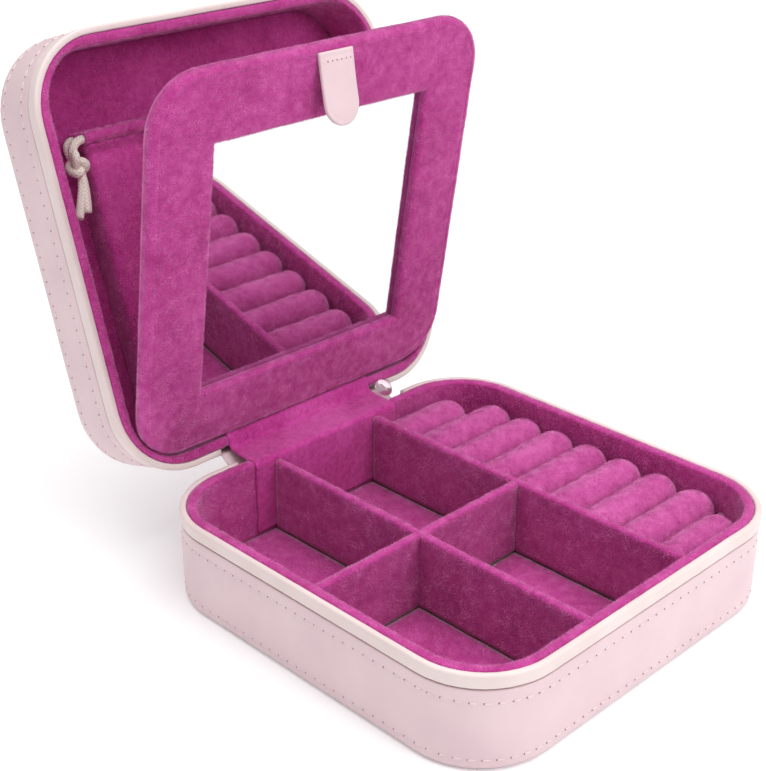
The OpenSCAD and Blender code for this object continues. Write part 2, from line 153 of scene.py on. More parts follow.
def ramp(tree, value, *stops):
    made = add(tree, "ShaderNodeValToRGB", i0=value)
    band = made.color_ramp
    while len(band.elements) < len(stops):
        band.elements.new(0.5)
    for element, (position, colour) in zip(band.elements, stops):
        element.position, element.color = position, colour
    return made.outputs[0]


def bump(tree, shader, value, strength, depth):
    made = add(tree, "ShaderNodeBump", Height=value, Strength=strength, Distance=depth)
    tree.links.new(made.outputs[0], shader.inputs["Normal"])


# %% [markdown]
# Faux leather is vinyl with a fine pressed grain: tiny rounded cells with shallow valleys,
# and an even, slightly waxy surface. Voronoi cells give the grain and a slow noise gives
# the faint clouding of the pink.

# %% Leather
def leather(name, light, dark, roughness, cell=0.75, depth=0.00007):
    made, tree, shader = finish(name, Roughness=roughness, Specular_IOR_Level=0.42, Coat_Weight=0.04)
    coords = add(tree, "ShaderNodeTexCoord").outputs["Object"]
    cloud = grain(tree, coords, 55, 4)
    tree.links.new(ramp(tree, cloud, (0.35, dark), (0.65, light)), shader.inputs["Base Color"])
    cells = add(tree, "ShaderNodeTexVoronoi", {"feature": "SMOOTH_F1"}, Vector=coords,
                Scale=1 / (cell * MM)).outputs[0]
    fine = grain(tree, coords, 2600, 2)
    both = add(tree, "ShaderNodeMath", {"operation": "MULTIPLY_ADD"}, i0=cells, i1=-0.6,
               i2=fine).outputs[0]
    bump(tree, shader, both, 0.35, depth)
    return made


blush_leather = leather("blush_leather", screen(226, 201, 205), screen(220, 194, 199), 0.46)
bead_leather = leather("bead_leather", screen(230, 214, 212), screen(224, 206, 203), 0.4, 0.6, 0.00004)

# %% [markdown]
# Velvet has a short pile that leans one way where a finger last brushed it. It looks pale
# where the pile leans to the light and deep where it leans away. That is painted light and
# shade here: a slow twisted noise moves the colour between a painted pale tone and a painted
# deep one. The pile is a very fine bump, and sheen gives the glow of the fibre tips.

# %% Velvet
def velvet(name, light, middle, dark, pile=1500):
    made, tree, shader = finish(name, Roughness=0.85, Specular_IOR_Level=0.1, Sheen_Weight=0.7,
                                Sheen_Roughness=0.4, Sheen_Tint=screen(255, 215, 240))
    coords = add(tree, "ShaderNodeTexCoord").outputs["Object"]
    # Painted light and shade of the brushed nap: a slow noise that lightens and darkens the colour.
    painted_nap_shading = grain(tree, coords, 42, 6, 0.62, 0.5)
    tufts = grain(tree, coords, 620, 4, 0.7)
    mixed = add(tree, "ShaderNodeMath", {"operation": "MULTIPLY_ADD"}, i0=tufts, i1=0.55,
                i2=add(tree, "ShaderNodeMath", {"operation": "MULTIPLY"}, i0=painted_nap_shading,
                       i1=0.6).outputs[0]).outputs[0]
    # The light and dark stops are painted lit and shaded tones of the one velvet; the fine tufts add
    # random tone.
    tree.links.new(ramp(tree, mixed, (0.36, dark), (0.57, middle), (0.8, light)),
                   shader.inputs["Base Color"])
    bump(tree, shader, grain(tree, coords, pile, 4, 0.7), 0.7, 0.00035)
    return made


fuchsia_velvet = velvet("fuchsia_velvet", screen(216, 92, 174), screen(194, 62, 148),
                        screen(156, 34, 108))
# A lighter copy of the same velvet for the ring rolls: painted light, as the rolls face the light.
painted_light_roll_velvet = velvet("painted_light_roll_velvet", screen(224, 116, 186), screen(204, 84, 162), screen(170, 52, 126),
                     1300)
# The pile fibres are coloured paler and whiter than the cloth: painted sheen of lit velvet, with a
# random tone from fibre to fibre.
painted_sheen_fibre, nap_tree, nap_shader = finish("painted_sheen_fibre", Roughness=0.7, Specular_IOR_Level=0.2,
                                         Sheen_Weight=0.4)
nap_coords = add(nap_tree, "ShaderNodeTexCoord").outputs["Object"]
nap_tree.links.new(ramp(nap_tree, grain(nap_tree, nap_coords, 300, 3), (0.35, screen(182, 72, 146)),
                        (0.7, screen(238, 158, 214))), nap_shader.inputs["Base Color"])

# %% [markdown]
# The drawcord is a soft elastic braid. Its map has the distance along the cord across, and
# the way round it upwards, so two slanting waves cross into a braid of the right pitch.
# Mirror, greyboard, magnet and the clear stop finish the list.

# %% Cord, mirror, board, magnet and clear rubber
elastic_cord, tree, shader = finish("elastic_cord", Roughness=0.75, Sheen_Weight=0.2)
around_along = add(tree, "ShaderNodeSeparateXYZ", Vector=add(tree, "ShaderNodeTexCoord").outputs["UV"])
strands = []
for slant in (1, -1):
    angle = add(tree, "ShaderNodeMath", {"operation": "MULTIPLY_ADD"}, i0=around_along.outputs["Y"],
                i1=slant * 6 * 2 * math.pi,
                i2=add(tree, "ShaderNodeMath", {"operation": "MULTIPLY"}, i0=around_along.outputs["X"],
                       i1=5.2).outputs[0])
    strands.append(add(tree, "ShaderNodeMath", {"operation": "SINE"}, i0=angle.outputs[0]).outputs[0])
braid = add(tree, "ShaderNodeMath", {"operation": "MAXIMUM"}, i0=strands[0], i1=strands[1]).outputs[0]
# The braid's low valleys are coloured darker: painted shade between the strands, from the same braid
# that drives the bump.
tree.links.new(ramp(tree, braid, (0.1, screen(220, 206, 190)), (0.9, screen(248, 242, 232))),
               shader.inputs["Base Color"])
bump(tree, shader, braid, 0.5, 0.00012)

mirror_silver, tree, shader = finish("mirror_silver", Metallic=1.0, Base_Color=screen(222, 224, 223))
smudge = grain(tree, add(tree, "ShaderNodeTexCoord").outputs["Object"], 40, 2)
tree.links.new(add(tree, "ShaderNodeMapRange", Value=smudge, To_Min=0.012, To_Max=0.03).outputs[0],
               shader.inputs["Roughness"])

greyboard, tree, shader = finish("greyboard", Roughness=0.9)
specks = grain(tree, add(tree, "ShaderNodeTexCoord").outputs["Object"], 1800, 4)
tree.links.new(ramp(tree, specks, (0.3, screen(128, 118, 108)), (0.7, screen(170, 160, 148))),
               shader.inputs["Base Color"])
bump(tree, shader, specks, 0.3, 0.0001)

magnet_nickel, tree, shader = finish("magnet_nickel", Metallic=1.0)
scuffs = grain(tree, add(tree, "ShaderNodeTexCoord").outputs["Object"], 900, 4)
tree.links.new(ramp(tree, scuffs, (0.3, screen(150, 150, 152)), (0.7, screen(190, 190, 192))),
               shader.inputs["Base Color"])
tree.links.new(add(tree, "ShaderNodeMapRange", Value=scuffs, To_Min=0.25, To_Max=0.45).outputs[0],
               shader.inputs["Roughness"])

clear_rubber, tree, shader = finish("clear_rubber", Transmission_Weight=0.92, IOR=1.45, Roughness=0.06,
                                    Base_Color=screen(246, 226, 236))
bump(tree, shader, grain(tree, add(tree, "ShaderNodeTexCoord").outputs["Object"], 500, 2), 0.1, 0.0001)

for node, made in (("base_bottom_cover", blush_leather), ("base_floor_board", greyboard),
                   ("base_wall_board", greyboard),
                   ("lid_top_board", greyboard), ("lid_wall_board", greyboard),
                   ("panel_frame_board", greyboard),
                   ("panel_glass_carrier", greyboard), ("mirror_glass", mirror_silver),
                   ("base_magnets", magnet_nickel), ("lid_magnets", magnet_nickel)):
    frame["nodes"][node].data.materials.clear()
    frame["nodes"][node].data.materials.append(made)
print("finishes:", len(bpy.data.materials))

# %% [markdown]
# A mesh is made from points in millimetres and a turn. A grid of points becomes a skin:
# rows run along the piece and columns across its section, and either way may close.
# Its map holds the distance along and across, in millimetres.

# %% Mesh helpers
def new_piece(name, points, faces, material, place=STAY, smooth=True, uv=None):
    mesh = bpy.data.meshes.new(name)
    mesh.from_pydata([tuple(place @ (Vector(p) * MM)) for p in points], [], faces)
    made = bpy.data.objects.new(name, mesh)
    bpy.context.scene.collection.objects.link(made)
    mesh.materials.append(material)
    mesh.shade_smooth() if smooth else None
    if uv is not None:
        layer = mesh.uv_layers.new(name="UVMap")
        for loop in mesh.loops:
            layer.data[loop.index].uv = uv[loop.vertex_index]
    return made


def skin(name, rows, material, place=STAY, close_rows=False, close_columns=False, caps=False):
    rows = np.asarray(rows, float)
    n, m = rows.shape[:2]
    faces = []
    for i in range(n if close_rows else n - 1):
        for j in range(m if close_columns else m - 1):
            a, b = i * m + j, i * m + (j + 1) % m
            c, d = ((i + 1) % n) * m + (j + 1) % m, ((i + 1) % n) * m + j
            faces.append((a, b, c, d))
    if caps:
        faces += [tuple(range(m))[::-1], tuple((n - 1) * m + j for j in range(m))]
    along = np.concatenate([[0], np.cumsum(np.linalg.norm(np.diff(rows[:, 0], axis=0), axis=1))])
    across = np.concatenate([[0], np.cumsum(np.linalg.norm(np.diff(rows[0], axis=0), axis=1))])
    uv = [(along[i], across[j]) for i in range(n) for j in range(m)]
    made = new_piece(name, rows.reshape(-1, 3), faces, material, place, uv=uv)
    outward(made)
    return made


def outward(made, join=None):
    """Turns the faces outwards, after points closer than join metres are made one."""
    shape = bmesh.new()
    shape.from_mesh(made.data)
    if join:
        bmesh.ops.remove_doubles(shape, verts=shape.verts, dist=join)
    bmesh.ops.recalc_face_normals(shape, faces=shape.faces)
    shape.to_mesh(made.data)
    shape.free()


def rounded(points, radii, steps=5):
    """The open line through points, with each inner corner rounded to its radius."""
    points = [np.array(p, float) for p in points]
    line = [points[0]]
    for before, corner, after, r in zip(points, points[1:], points[2:], radii):
        a, b = before - corner, after - corner
        la, lb = np.linalg.norm(a), np.linalg.norm(b)
        a, b = a / la, b / lb
        half = math.acos(max(-1, min(1, float(a @ b)))) / 2
        cut = min(r / math.tan(half), la * 0.49, lb * 0.49) if r and half > 0.01 and half < 1.56 else 0
        if not cut:
            line.append(corner)
            continue
        p, q = corner + a * cut, corner + b * cut
        for k in range(steps + 1):
            t = k / steps
            line.append((1 - t) ** 2 * p + 2 * t * (1 - t) * corner + t * t * q)
    return line + [points[-1]]


def resample(line, gap):
    """The same line with points no further apart than gap."""
    out = [np.array(line[0], float)]
    for a, b in zip(line, line[1:]):
        a, b = np.array(a, float), np.array(b, float)
        n = max(1, math.ceil(np.linalg.norm(b - a) / gap))
        out += [a + (b - a) * k / n for k in range(1, n + 1)]
    return out


def rim(w, d, r, gap=1.5, y0=0.0):
    """Points and outward directions round a rounded rectangle, from the middle of the back."""
    hx, hy = w / 2 - r, d / 2 - r
    spots = []
    for cx, cy, start in ((-hx, hy, 90), (-hx, -hy, 180), (hx, -hy, 270), (hx, hy, 0)):
        for k in range(13):
            t = math.radians(start + 90 * k / 12)
            spots.append(((cx + r * math.cos(t), cy + r * math.sin(t)), (math.cos(t), math.sin(t))))
    out = [((0, d / 2), (0, 1))]
    spots = spots + [((0, d / 2), (0, 1))]
    last = out[0]
    for p, way in spots:
        a, b = np.array(last[0]), np.array(p)
        length = np.linalg.norm(b - a)
        steps = max(1, round(length / gap)) if length > gap * 1.5 else 1
        for k in range(1, steps + 1):
            spot = a + (b - a) * k / steps
            out.append((tuple(spot), way))
        last = (p, way)
    out = out[:-1]
    return np.array([(p[0], p[1] + y0) for p, _ in out]), np.array([w for _, w in out])


def sweep(name, section, path, material, place=STAY, shape=None, closed=True, gap=None):
    """Carries a section of (outwards, up) points round the path. gap leaves out part of the back."""
    spots, ways = path
    if gap:
        keep = [k for k in range(len(spots)) if not (spots[k][1] > 0 and gap[0] < spots[k][0] < gap[1])]
        first = next(i for i,
                     k in enumerate(keep) if k > 0 and keep[i - 1] != k - 1) if keep[0] == 0 else 0
        keep = keep[first:] + keep[:first]
        spots, ways = spots[keep], ways[keep]
        spots[0][0], spots[-1][0] = gap[0], gap[1]
    rows = []
    for spot, way in zip(spots, ways):
        row = []
        for u, z in section:
            if shape:
                u, z = shape(spot, u, z)
            row.append((spot[0] + way[0] * u, spot[1] + way[1] * u, z))
        rows.append(row)
    return skin(name, rows, material, place, close_rows=not gap, close_columns=closed,
                caps=bool(gap and closed))


def wander(made, amount, scale, place=STAY):
    """Hand-made unevenness: moves each point along its normal by a slow noise, in millimetres."""
    mesh = made.data
    normals = [v.normal.copy() for v in mesh.vertices]
    for v, n in zip(mesh.vertices, normals):
        v.co += n * noise.noise(v.co / MM * scale) * amount * MM
    mesh.update()


def thick(made, amount, offset=-1.0):
    solid = made.modifiers.new("thickness", "SOLIDIFY")
    solid.thickness, solid.offset = amount * MM, offset
    solid.use_even_offset = True
    bake(made)


def smooth_out(made, levels=1):
    subdivision = made.modifiers.new("smooth", "SUBSURF")
    subdivision.levels = subdivision.render_levels = levels
    bake(made)


def bake(made):
    mesh = bpy.data.meshes.new_from_object(made.evaluated_get(bpy.context.evaluated_depsgraph_get()))
    made.modifiers.clear()
    old, made.data = made.data, mesh
    bpy.data.meshes.remove(old)
    mesh.name = made.name


def settle(made, body, slot, *nodes):
    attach(made, body)
    if nodes:
        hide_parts(*nodes)
    return made


box_low, box_high = size("base_bead")
skirt_low, skirt_high = size("base_side_wrap")
box_w, box_d = skirt_high[0] - skirt_low[0], skirt_high[1] - skirt_low[1]
rim_z, bead_z = box_high[2], box_low[2]
corner_r = 25.5
lid_bead_low, lid_bead_high = size("lid_bead", OPEN)
lid_rim, lid_top = lid_bead_low[2], size("lid_top_cover", OPEN)[1][2]
outline = rim(box_w, box_d, corner_r)
print("box", round(box_w, 1), "x", round(box_d, 1), "rim at", round(rim_z, 1), "lid", round(lid_rim, 1),
      "to", round(lid_top, 1))

# %% [markdown]
# The cord first, because it is the one piece that hangs free. Two strands come out of the
# pocket's hem, go through one overhand knot and end in two short tails. A tube with rings
# square to its line, and a map along it, takes the braid.

# %% Drawcord
cord_d = 2.8


def tube(name, line, radius, material, place=STAY, sides=14, closed=False):
    line = [Vector(p) for p in line]
    n = len(line)
    side = None
    rows = []
    for i, p in enumerate(line):
        before, after = (line[i - 1], line[(i + 1) % n]) if closed else (line[max(i - 1, 0)],
                line[min(i + 1, n - 1)])
        ahead = (after - before).normalized()
        side = ahead.orthogonal() if side is None else (side - ahead * side.dot(ahead))
        side.normalize()
        across = ahead.cross(side)
        r = radius
        if not closed and i in (0, n - 1):
            r = radius * 0.86
        rows.append([p + (side * math.cos(2 * math.pi * k / sides) + across
                          * math.sin(2 * math.pi * k / sides)) * r
                     for k in range(sides)])
    faces = []
    for i in range(n if closed else n - 1):
        for k in range(sides):
            faces.append((i * sides + k, i * sides + (k + 1) % sides,
                          ((i + 1) % n) * sides + (k + 1) % sides, ((i + 1) % n) * sides + k))
    if not closed:
        faces += [tuple(range(sides))[::-1], tuple((n - 1) * sides + k for k in range(sides))]
    along = np.concatenate([[0], np.cumsum([(b - a).length for a, b in zip(line, line[1:])])])
    uv = [(along[i], k / sides) for i in range(n) for k in range(sides)]
    made = new_piece(name, [p for row in rows for p in row], faces, material, place, uv=uv)
    outward(made)
    return made


def curve_through(points, per=4):
    """A smooth line through the points, a few steps between each pair."""
    points = [Vector(p) for p in points]
    out = []
    for i in range(len(points) - 1):
        p0, p1, p2, p3 = (points[max(i - 1, 0)], points[i], points[i + 1],
                          points[min(i + 2, len(points) - 1)])
        for k in range(per):
            t = k / per
            out.append(0.5 * ((2 * p1) + (p2 - p0) * t + (2 * p0 - 5 * p1 + 4 * p2 - p3) * t * t
                              + (3 * p1 - p0 - 3 * p2 + p3) * t ** 3))
    return out + [points[-1]]


tail_a = [(-47.5, -38.9, 43.1), (-49.5, -38.9, 43.1), (-51.5, -38.9, 43.1), (-53.7, -38.6, 43.1),
          (-55.4, -37.8, 43), (-56.5, -36.4, 42.9), (-57, -34.7, 42.8), (-56.9, -32.7, 42.6),
          (-56.4, -30.4, 42.5), (-56.2, -28.7, 42.2), (-56.7, -26.8, 41.7), (-57.6, -24.7, 41),
          (-58.9, -22.5, 40.2), (-60.4, -20.2, 39.4), (-61.9, -17.8, 38.7), (-63.3, -15.4, 38.2)]
tail_b = [(-47.5, -38.9, 49.2), (-49, -38.9, 49.2), (-50.5, -38.9, 49.2), (-52.9, -38.7, 48.9),
          (-54.6, -38, 48.2), (-55.8, -36.9, 47.1), (-56.5, -35.6, 45.9), (-56.8, -34, 44.6),
          (-56.7, -32.3, 43.4), (-56.4, -30.4, 42.5), (-56.3, -28.7, 41.9), (-56.6, -26.6, 41.2),
          (-57.1, -24.2, 40.5), (-57.8, -21.7, 39.8), (-58.5, -19.1, 39.3), (-59.2, -16.6, 39)]
knot_low, knot_high = size("drawcord_knot", OPEN)
knot_at = Vector((knot_low + knot_high) / 2)
knot_line = []
for k in range(120):
    t = 2 * math.pi * k / 120
    knot_line.append(knot_at + Vector((1.02 * (math.sin(t) + 2 * math.sin(2 * t)) * 0.8,
                                       1.35 * (math.cos(t) - 2 * math.cos(2 * t)) * 0.92,
                                       -math.sin(3 * t) * 1.9)))
knot = settle(tube("drawcord_knot_loops", knot_line, cord_d / 2 * 0.95, elastic_cord, OPEN,
                   closed=True), "lid", "cord", "drawcord_knot")
tails = []
for name, route in (("drawcord_tail_a", tail_a), ("drawcord_tail_b", tail_b)):
    line = curve_through(route)
    made = settle(tube(name + "_braid", line, cord_d / 2, elastic_cord, OPEN), "lid", "cord", name)
    world = [tuple(OPEN @ (p * MM)) for p in line]
    length = sum((b - a).length for a, b in zip(line, line[1:]))
    tails.append(made)
    print(name, round(length, 1), "mm")
hem_low, hem_high = size("pocket_hem", OPEN)
inner_low, inner_high = size("drawcord", OPEN)
front_z, back_z, hem_y = inner_low[2] + cord_d / 2, inner_high[2] - cord_d / 2, tail_a[0][1]
bend = [(inner_high[0] - cord_d / 2 - 3 + 3 * math.cos(t), hem_y,
         (front_z + back_z) / 2 + (back_z - front_z) / 2 * math.sin(t))
        for t in np.linspace(-math.pi / 2, math.pi / 2, 15)]
inside = [(x, hem_y, front_z) for x in np.linspace(inner_low[0], bend[0][0] - 1, 40)] + bend + \
         [(x, hem_y, back_z) for x in np.linspace(bend[0][0] - 1, inner_low[0], 40)]
settle(tube("drawcord_in_hem", inside, cord_d / 2, elastic_cord, OPEN), "lid", "cord", "drawcord")

# %% [markdown]
# Each shell's side is one strip of leather over board. It turns in under the board at the
# table side, and at the rim side it ends in a narrow dark groove under the bead. Its section
# is drawn once, with soft edges and a shallow dent along each row of stitches, and swept
# round the box's outline.

# %% Leather sides
stitch_top, stitch_low = 4.2, 3.6


def side_section(h):
    """Base side from z 0.3 to h; the dents stand at the two rows of stitches."""
    outer = rounded([(-8, 0.35), (0, 0.3), (0, h), (-1.0, h)], [1.8, 0.7])
    outer = resample(outer, 1.0)
    line = []
    for u, z in outer:
        for row in (stitch_low, h - stitch_top):
            u -= 0.16 * math.exp(-((z - row) / 0.7) ** 2) if u > -0.5 else 0
        if -0.5 < u and stitch_low < z < h - stitch_top:
            u += 0.1 * math.sin(math.pi * (z - stitch_low) / (h - stitch_top - stitch_low))
        line.append((u, z))
    inner = [(-1.0, h - 2), (-0.95, 4), (-1.0, 1.6), (-2.0, 1.15), (-8, 1.15)]
    return line + inner


base_side_h = skirt_high[2]
base_side = sweep("base_leather_side", side_section(base_side_h), outline, blush_leather)
wander(base_side, 0.09, 0.05)
settle(base_side, "base", "leather", "base_side_wrap")
lid_side_h = lid_top - size("lid_side_wrap", OPEN)[0][2]


def flipped(section):
    return [(u, lid_top - z) for u, z in section]


lid_side = sweep("lid_leather_side", flipped(side_section(lid_side_h)), outline, blush_leather, OPEN)
wander(lid_side, 0.09, 0.05)
settle(lid_side, "lid", "leather", "lid_side_wrap")
print("sides:", len(base_side.data.polygons), len(lid_side.data.polygons), "faces")

# %% [markdown]
# The bead is a roll of leather over a thin cord that hides the joint between side and
# lining. It is a tall rounded section, and it stops each side of the hinge. Small waves
# along it keep it from looking machined.

# %% Rolled beads
gap_x, gap_w = 2.4, 78.0
bead_gap = (gap_x - gap_w / 2, gap_x + gap_w / 2)


def bead_section(z0, z1):
    return resample(rounded([(-1.9, (z0 + z1) / 2), (-1.9, z1), (0.3, z1), (0.3, z0), (-1.9, z0),
                             (-1.9, (z0 + z1) / 2)],
                            [0.9, 1.25, 1.1, 0.6], 6), 0.6)[:-1]


def bead_waves(spot, u, z):
    return u + 0.05 * noise.noise(Vector((spot[0] * 0.25, spot[1] * 0.25,
                                          z * 0.3))), z + 0.05 * noise.noise(Vector((spot[0] * 0.12, 9,
                                                  spot[1] * 0.12)))


base_bead = sweep("base_rolled_bead", bead_section(bead_z, rim_z), outline, bead_leather,
                  shape=bead_waves, gap=bead_gap)
settle(base_bead, "base", "bead_leather", "base_bead")
lid_bead = sweep("lid_rolled_bead", bead_section(lid_rim, lid_bead_high[2]), outline, bead_leather,
                 OPEN, shape=bead_waves, gap=bead_gap)
settle(lid_bead, "lid", "bead_leather", "lid_bead")

# %% [markdown]
# The velvet lining is glued to thin board inside each wall, and folds over it at the rim
# into a soft lip inside the bead. One section makes wall and lip together. Under the hinge
# strip the lip is pressed a little lower.

# %% Velvet walls
strip_low, strip_high = size("hinge_strip")
strip_w = strip_high[0] - strip_low[0]
wall_in = 5.2


def under_strip(spot):
    return 1 / (1 + math.exp((abs(spot[0]) - strip_w / 2 - 0.2) / 0.25)) if spot[1] > 0 else 0.0


def lining_section(z_floor, z_rim):
    up = 1 if z_rim > z_floor else -1
    line = rounded([(-3.4, z_floor), (-3.4, z_rim - up * 4.4), (-2.0, z_rim - up * 4.4),
                    (-2.0, z_rim - up * 0.1),
                    (-3.6, z_rim + up * 0.1), (-wall_in, z_rim - up * 0.2), (-wall_in, z_floor)],
                   [0.2, 0.2, 1.1, 3, 1.5], 6)
    return resample(line, 1.4)


def pressed(z_rim, up):
    def shape(spot, u, z):
        near = max(0, 1 - abs(z - z_rim) / 6)
        return u, z - up * 1.05 * under_strip(spot) * (1 if near > 0.6 else near / 0.6)
    return shape


wall_low = size("base_lining")[0]
base_lining = sweep("base_velvet_wall", lining_section(wall_low[2], rim_z), outline, fuchsia_velvet,
                    shape=pressed(rim_z, 1))
wander(base_lining, 0.14, 0.16)
settle(base_lining, "base", "velvet", "base_lining")
lid_wall_high = size("lid_lining", OPEN)[1]
lid_corner_r, easy_r = 17.6, corner_r - wall_in


def tighter_corner(spot, u, z):
    """Moves the inner face out in the corners, so that the folded panel's rounder corner has room."""
    u, z = pressed(lid_rim, -1)(spot, u, z)
    x, y = abs(spot[0]) - (box_w / 2 - corner_r), abs(spot[1]) - (box_d / 2 - corner_r)
    if u > -4.0 or x <= 0 or y <= 0:
        return u, z
    c, s = x / math.hypot(x, y), y / math.hypot(x, y)
    shift = easy_r - lid_corner_r
    along = shift * (c + s)
    reach = along + math.sqrt(along ** 2 - 2 * shift ** 2 + lid_corner_r ** 2)
    if reach * s < shift:
        reach = easy_r / c
    if reach * c < shift:
        reach = easy_r / s
    return u + reach - easy_r, z


lid_lining = sweep("lid_velvet_wall", lining_section(lid_wall_high[2], lid_rim), outline,
                   fuchsia_velvet, OPEN, shape=tighter_corner)
wander(lid_lining, 0.08, 0.16)
settle(lid_lining, "lid", "velvet", "lid_lining")

# %% [markdown]
# The dividers are boards wrapped in velvet: straight walls with a soft round top. Each is
# a fine grid of rings from one end to the other, so that a slow noise can make its top line
# a little uneven, as hand-wrapped board is.

# %% Dividers
def divider(name, node, axis):
    low, high = size(node)
    other = 1 - axis
    half = (high[other] - low[other]) / 2
    middle = (high[other] + low[other]) / 2
    top = rounded([(-half, low[2]), (-half, high[2]), (half, high[2]), (half, low[2])], [1.35, 1.35], 6)
    section = resample(top, 1.3)
    rows = []
    count = int((high[axis] - low[axis]) / 1.3)
    for i in range(count + 1):
        along = low[axis] + (high[axis] - low[axis]) * i / count
        row = []
        for across, z in section:
            point = [0, 0, z]
            point[axis], point[other] = along, middle + across
            row.append(point)
        rows.append(row)
    made = skin(name, rows, fuchsia_velvet, close_columns=True, caps=True)
    wander(made, 0.16, 0.14)
    return settle(made, "base", "velvet", node)


dividers = [divider("ring_tray_divider", "ring_divider", 1), divider("middle_divider", "centre_divider",
        1),
            divider("cross_tray_divider", "cross_divider", 0)]

# %% [markdown]
# The tray floors are thin foam under velvet. Each crowns slightly and dips where it meets
# the walls. They are one padded piece in four parts, cut to the compartments' outline.

# %% Floor pads
inner_r = corner_r - wall_in
inner_w, inner_d = box_w - 2 * wall_in, box_d - 2 * wall_in


def inside_x(y, inset=0.0):
    """Half width of the inner outline at y."""
    r, hx, hy = inner_r - inset, inner_w / 2 - inner_r, inner_d / 2 - inner_r
    over = max(0.0, abs(y) - hy)
    return hx + (math.sqrt(max(r * r - over * over, 0.0)) if over < r else 0.0)


def cushion_patch(x0, x1, y0, y1, z0, z1, crown, step=1.4):
    nx, ny = max(2, round((x1 - x0) / step)), max(2, round((y1 - y0) / step))
    top, points = [], []
    for i in range(nx + 1):
        for j in range(ny + 1):
            s, t = i / nx, j / ny
            y = y0 + (y1 - y0) * t
            a, b = max(x0, -inside_x(y, 0.1)), min(x1, inside_x(y, 0.1))
            x = a + (b - a) * s
            edge = min(s * (b - a), (1 - s) * (b - a), t * (y1 - y0), (1 - t) * (y1 - y0))
            soft = 1 - math.exp(-edge / 1.4)
            points.append((x, y,
                           z1 - 0.7 + 0.7 * soft + crown * (1 - (2 * s - 1) ** 2)
                           * (1 - (2 * t - 1) ** 2)))
    low = [(x, y, z0) for x, y, _ in points]
    n, m, faces = nx + 1, ny + 1, []
    base = len(points)
    for i in range(nx):
        for j in range(ny):
            a = i * m + j
            faces.append((a, a + m, a + m + 1, a + 1))
            faces.append((base + a, base + a + 1, base + a + m + 1, base + a + m))
    loop = [i * m for i in range(n)] + [(n - 1) * m + j for j in range(1, m)] + \
           [i * m + m - 1 for i in range(n - 2, -1, -1)] + [j for j in range(m - 2, 0, -1)]
    for a, b in zip(loop, loop[1:] + loop[:1]):
        faces.append((a, base + a, base + b, b))
    return points + low, faces


ring_x = size("ring_divider")
mid_x = size("centre_divider")
cross_y = size("cross_divider")
pad_low, pad_high = size("base_floor_pad")
points, faces = [], []
for x0, x1 in ((-inner_w / 2, mid_x[0][0]), (mid_x[1][0], ring_x[0][0])):
    for y0, y1 in ((-inner_d / 2, cross_y[0][1]), (cross_y[1][1], inner_d / 2)):
        p, f = cushion_patch(x0 + 0.1, x1 - 0.1, y0 + 0.1, y1 - 0.1, pad_low[2], pad_high[2], 0.35)
        faces += [tuple(k + len(points) for k in face) for face in f]
        points += p
floor_pads = new_piece("tray_floor_pads", points, faces, fuchsia_velvet)
outward(floor_pads)
settle(floor_pads, "base", "velvet", "base_floor_pad")
print("floor pads", len(floor_pads.data.polygons), "faces")

# %% [markdown]
# The ring tray has nine foam rolls side by side, each wrapped in velvet, with a round end
# towards the outer wall. A cloth simulation with a little pressure makes each swell and
# wrinkle in its own way. The rolls are tiny for the solver, so they are simulated twenty
# times larger and then brought back, and no point may move more than half a millimetre.

# %% Ring rolls
roll_nodes = [f"ring_roll_{i}" for i in range(1, 10)]


def roll_start(node, seed):
    low, high = size(node)
    r = (high[2] - low[2]) / 2 - 0.25
    cy, cz = (low[1] + high[1]) / 2, (low[2] + high[2]) / 2
    x0, x1 = low[0], high[0] - 0.2
    rings, sides = [], 40
    for x in np.linspace(x0, x1 - r, 26):
        rings.append((x, r))
    for a in np.linspace(0, math.pi / 2, 9)[1:-1]:
        rings.append((x1 - r + r * math.sin(a), r * math.cos(a)))
    points, faces = [], []
    for x, radius in rings:
        for k in range(sides):
            a = 2 * math.pi * k / sides
            swell = 1 + 0.018 * noise.noise(Vector((x * 0.12, math.cos(a), seed * 3 + math.sin(a))))
            points.append((x, cy + radius * swell * math.cos(a), cz + radius * swell * math.sin(a)))
    n = len(rings)
    for i in range(n - 1):
        for k in range(sides):
            faces.append((i * sides + k, i * sides + (k + 1) % sides, (i + 1) * sides + (k + 1) % sides,
                          (i + 1) * sides + k))
    points += [(x0, cy, cz), (x1, cy, cz)]
    faces += [(k, (k + 1) % sides, n * sides) for k in range(sides)]
    faces += [((n - 1) * sides + k, (n - 1) * sides + (k + 1) % sides,
               n * sides + 1) for k in range(sides)]
    return points, faces, (x0, cy, cz, r)


def plump(made, grow=20.0, cap=0.45):
    """Cloth with pressure on an enlarged copy; each point then keeps at most cap of its move."""
    mesh = made.data
    mesh.transform(Matrix.Scale(grow, 4))
    mesh.update()
    rest = np.array([v.co for v in mesh.vertices])
    cloth = made.modifiers.new("foam", "CLOTH")
    cloth.settings.use_pressure = True
    cloth.settings.uniform_pressure_force = 4
    cloth.settings.effector_weights.gravity = 0
    cloth.settings.quality = 4
    cloth.settings.bending_stiffness = 0.4
    cloth.point_cache.frame_start, cloth.point_cache.frame_end = 1, 20
    for number in range(1, 21):
        bpy.context.scene.frame_set(number)
    bake(made)
    moved = np.array([v.co for v in made.data.vertices]) - rest
    length = np.linalg.norm(moved, axis=1, keepdims=True)
    limit = cap * MM * grow
    moved *= np.minimum(1, limit / np.maximum(length, 1e-9))
    moved -= moved.mean(0)
    for v, a, b in zip(made.data.vertices, rest, moved):
        v.co = Vector((a + b) / grow)
    bpy.context.scene.frame_set(1)
    made.data.update()
    print(made.name, "largest move", round(float(length.max()) / grow / MM, 2), "mm")


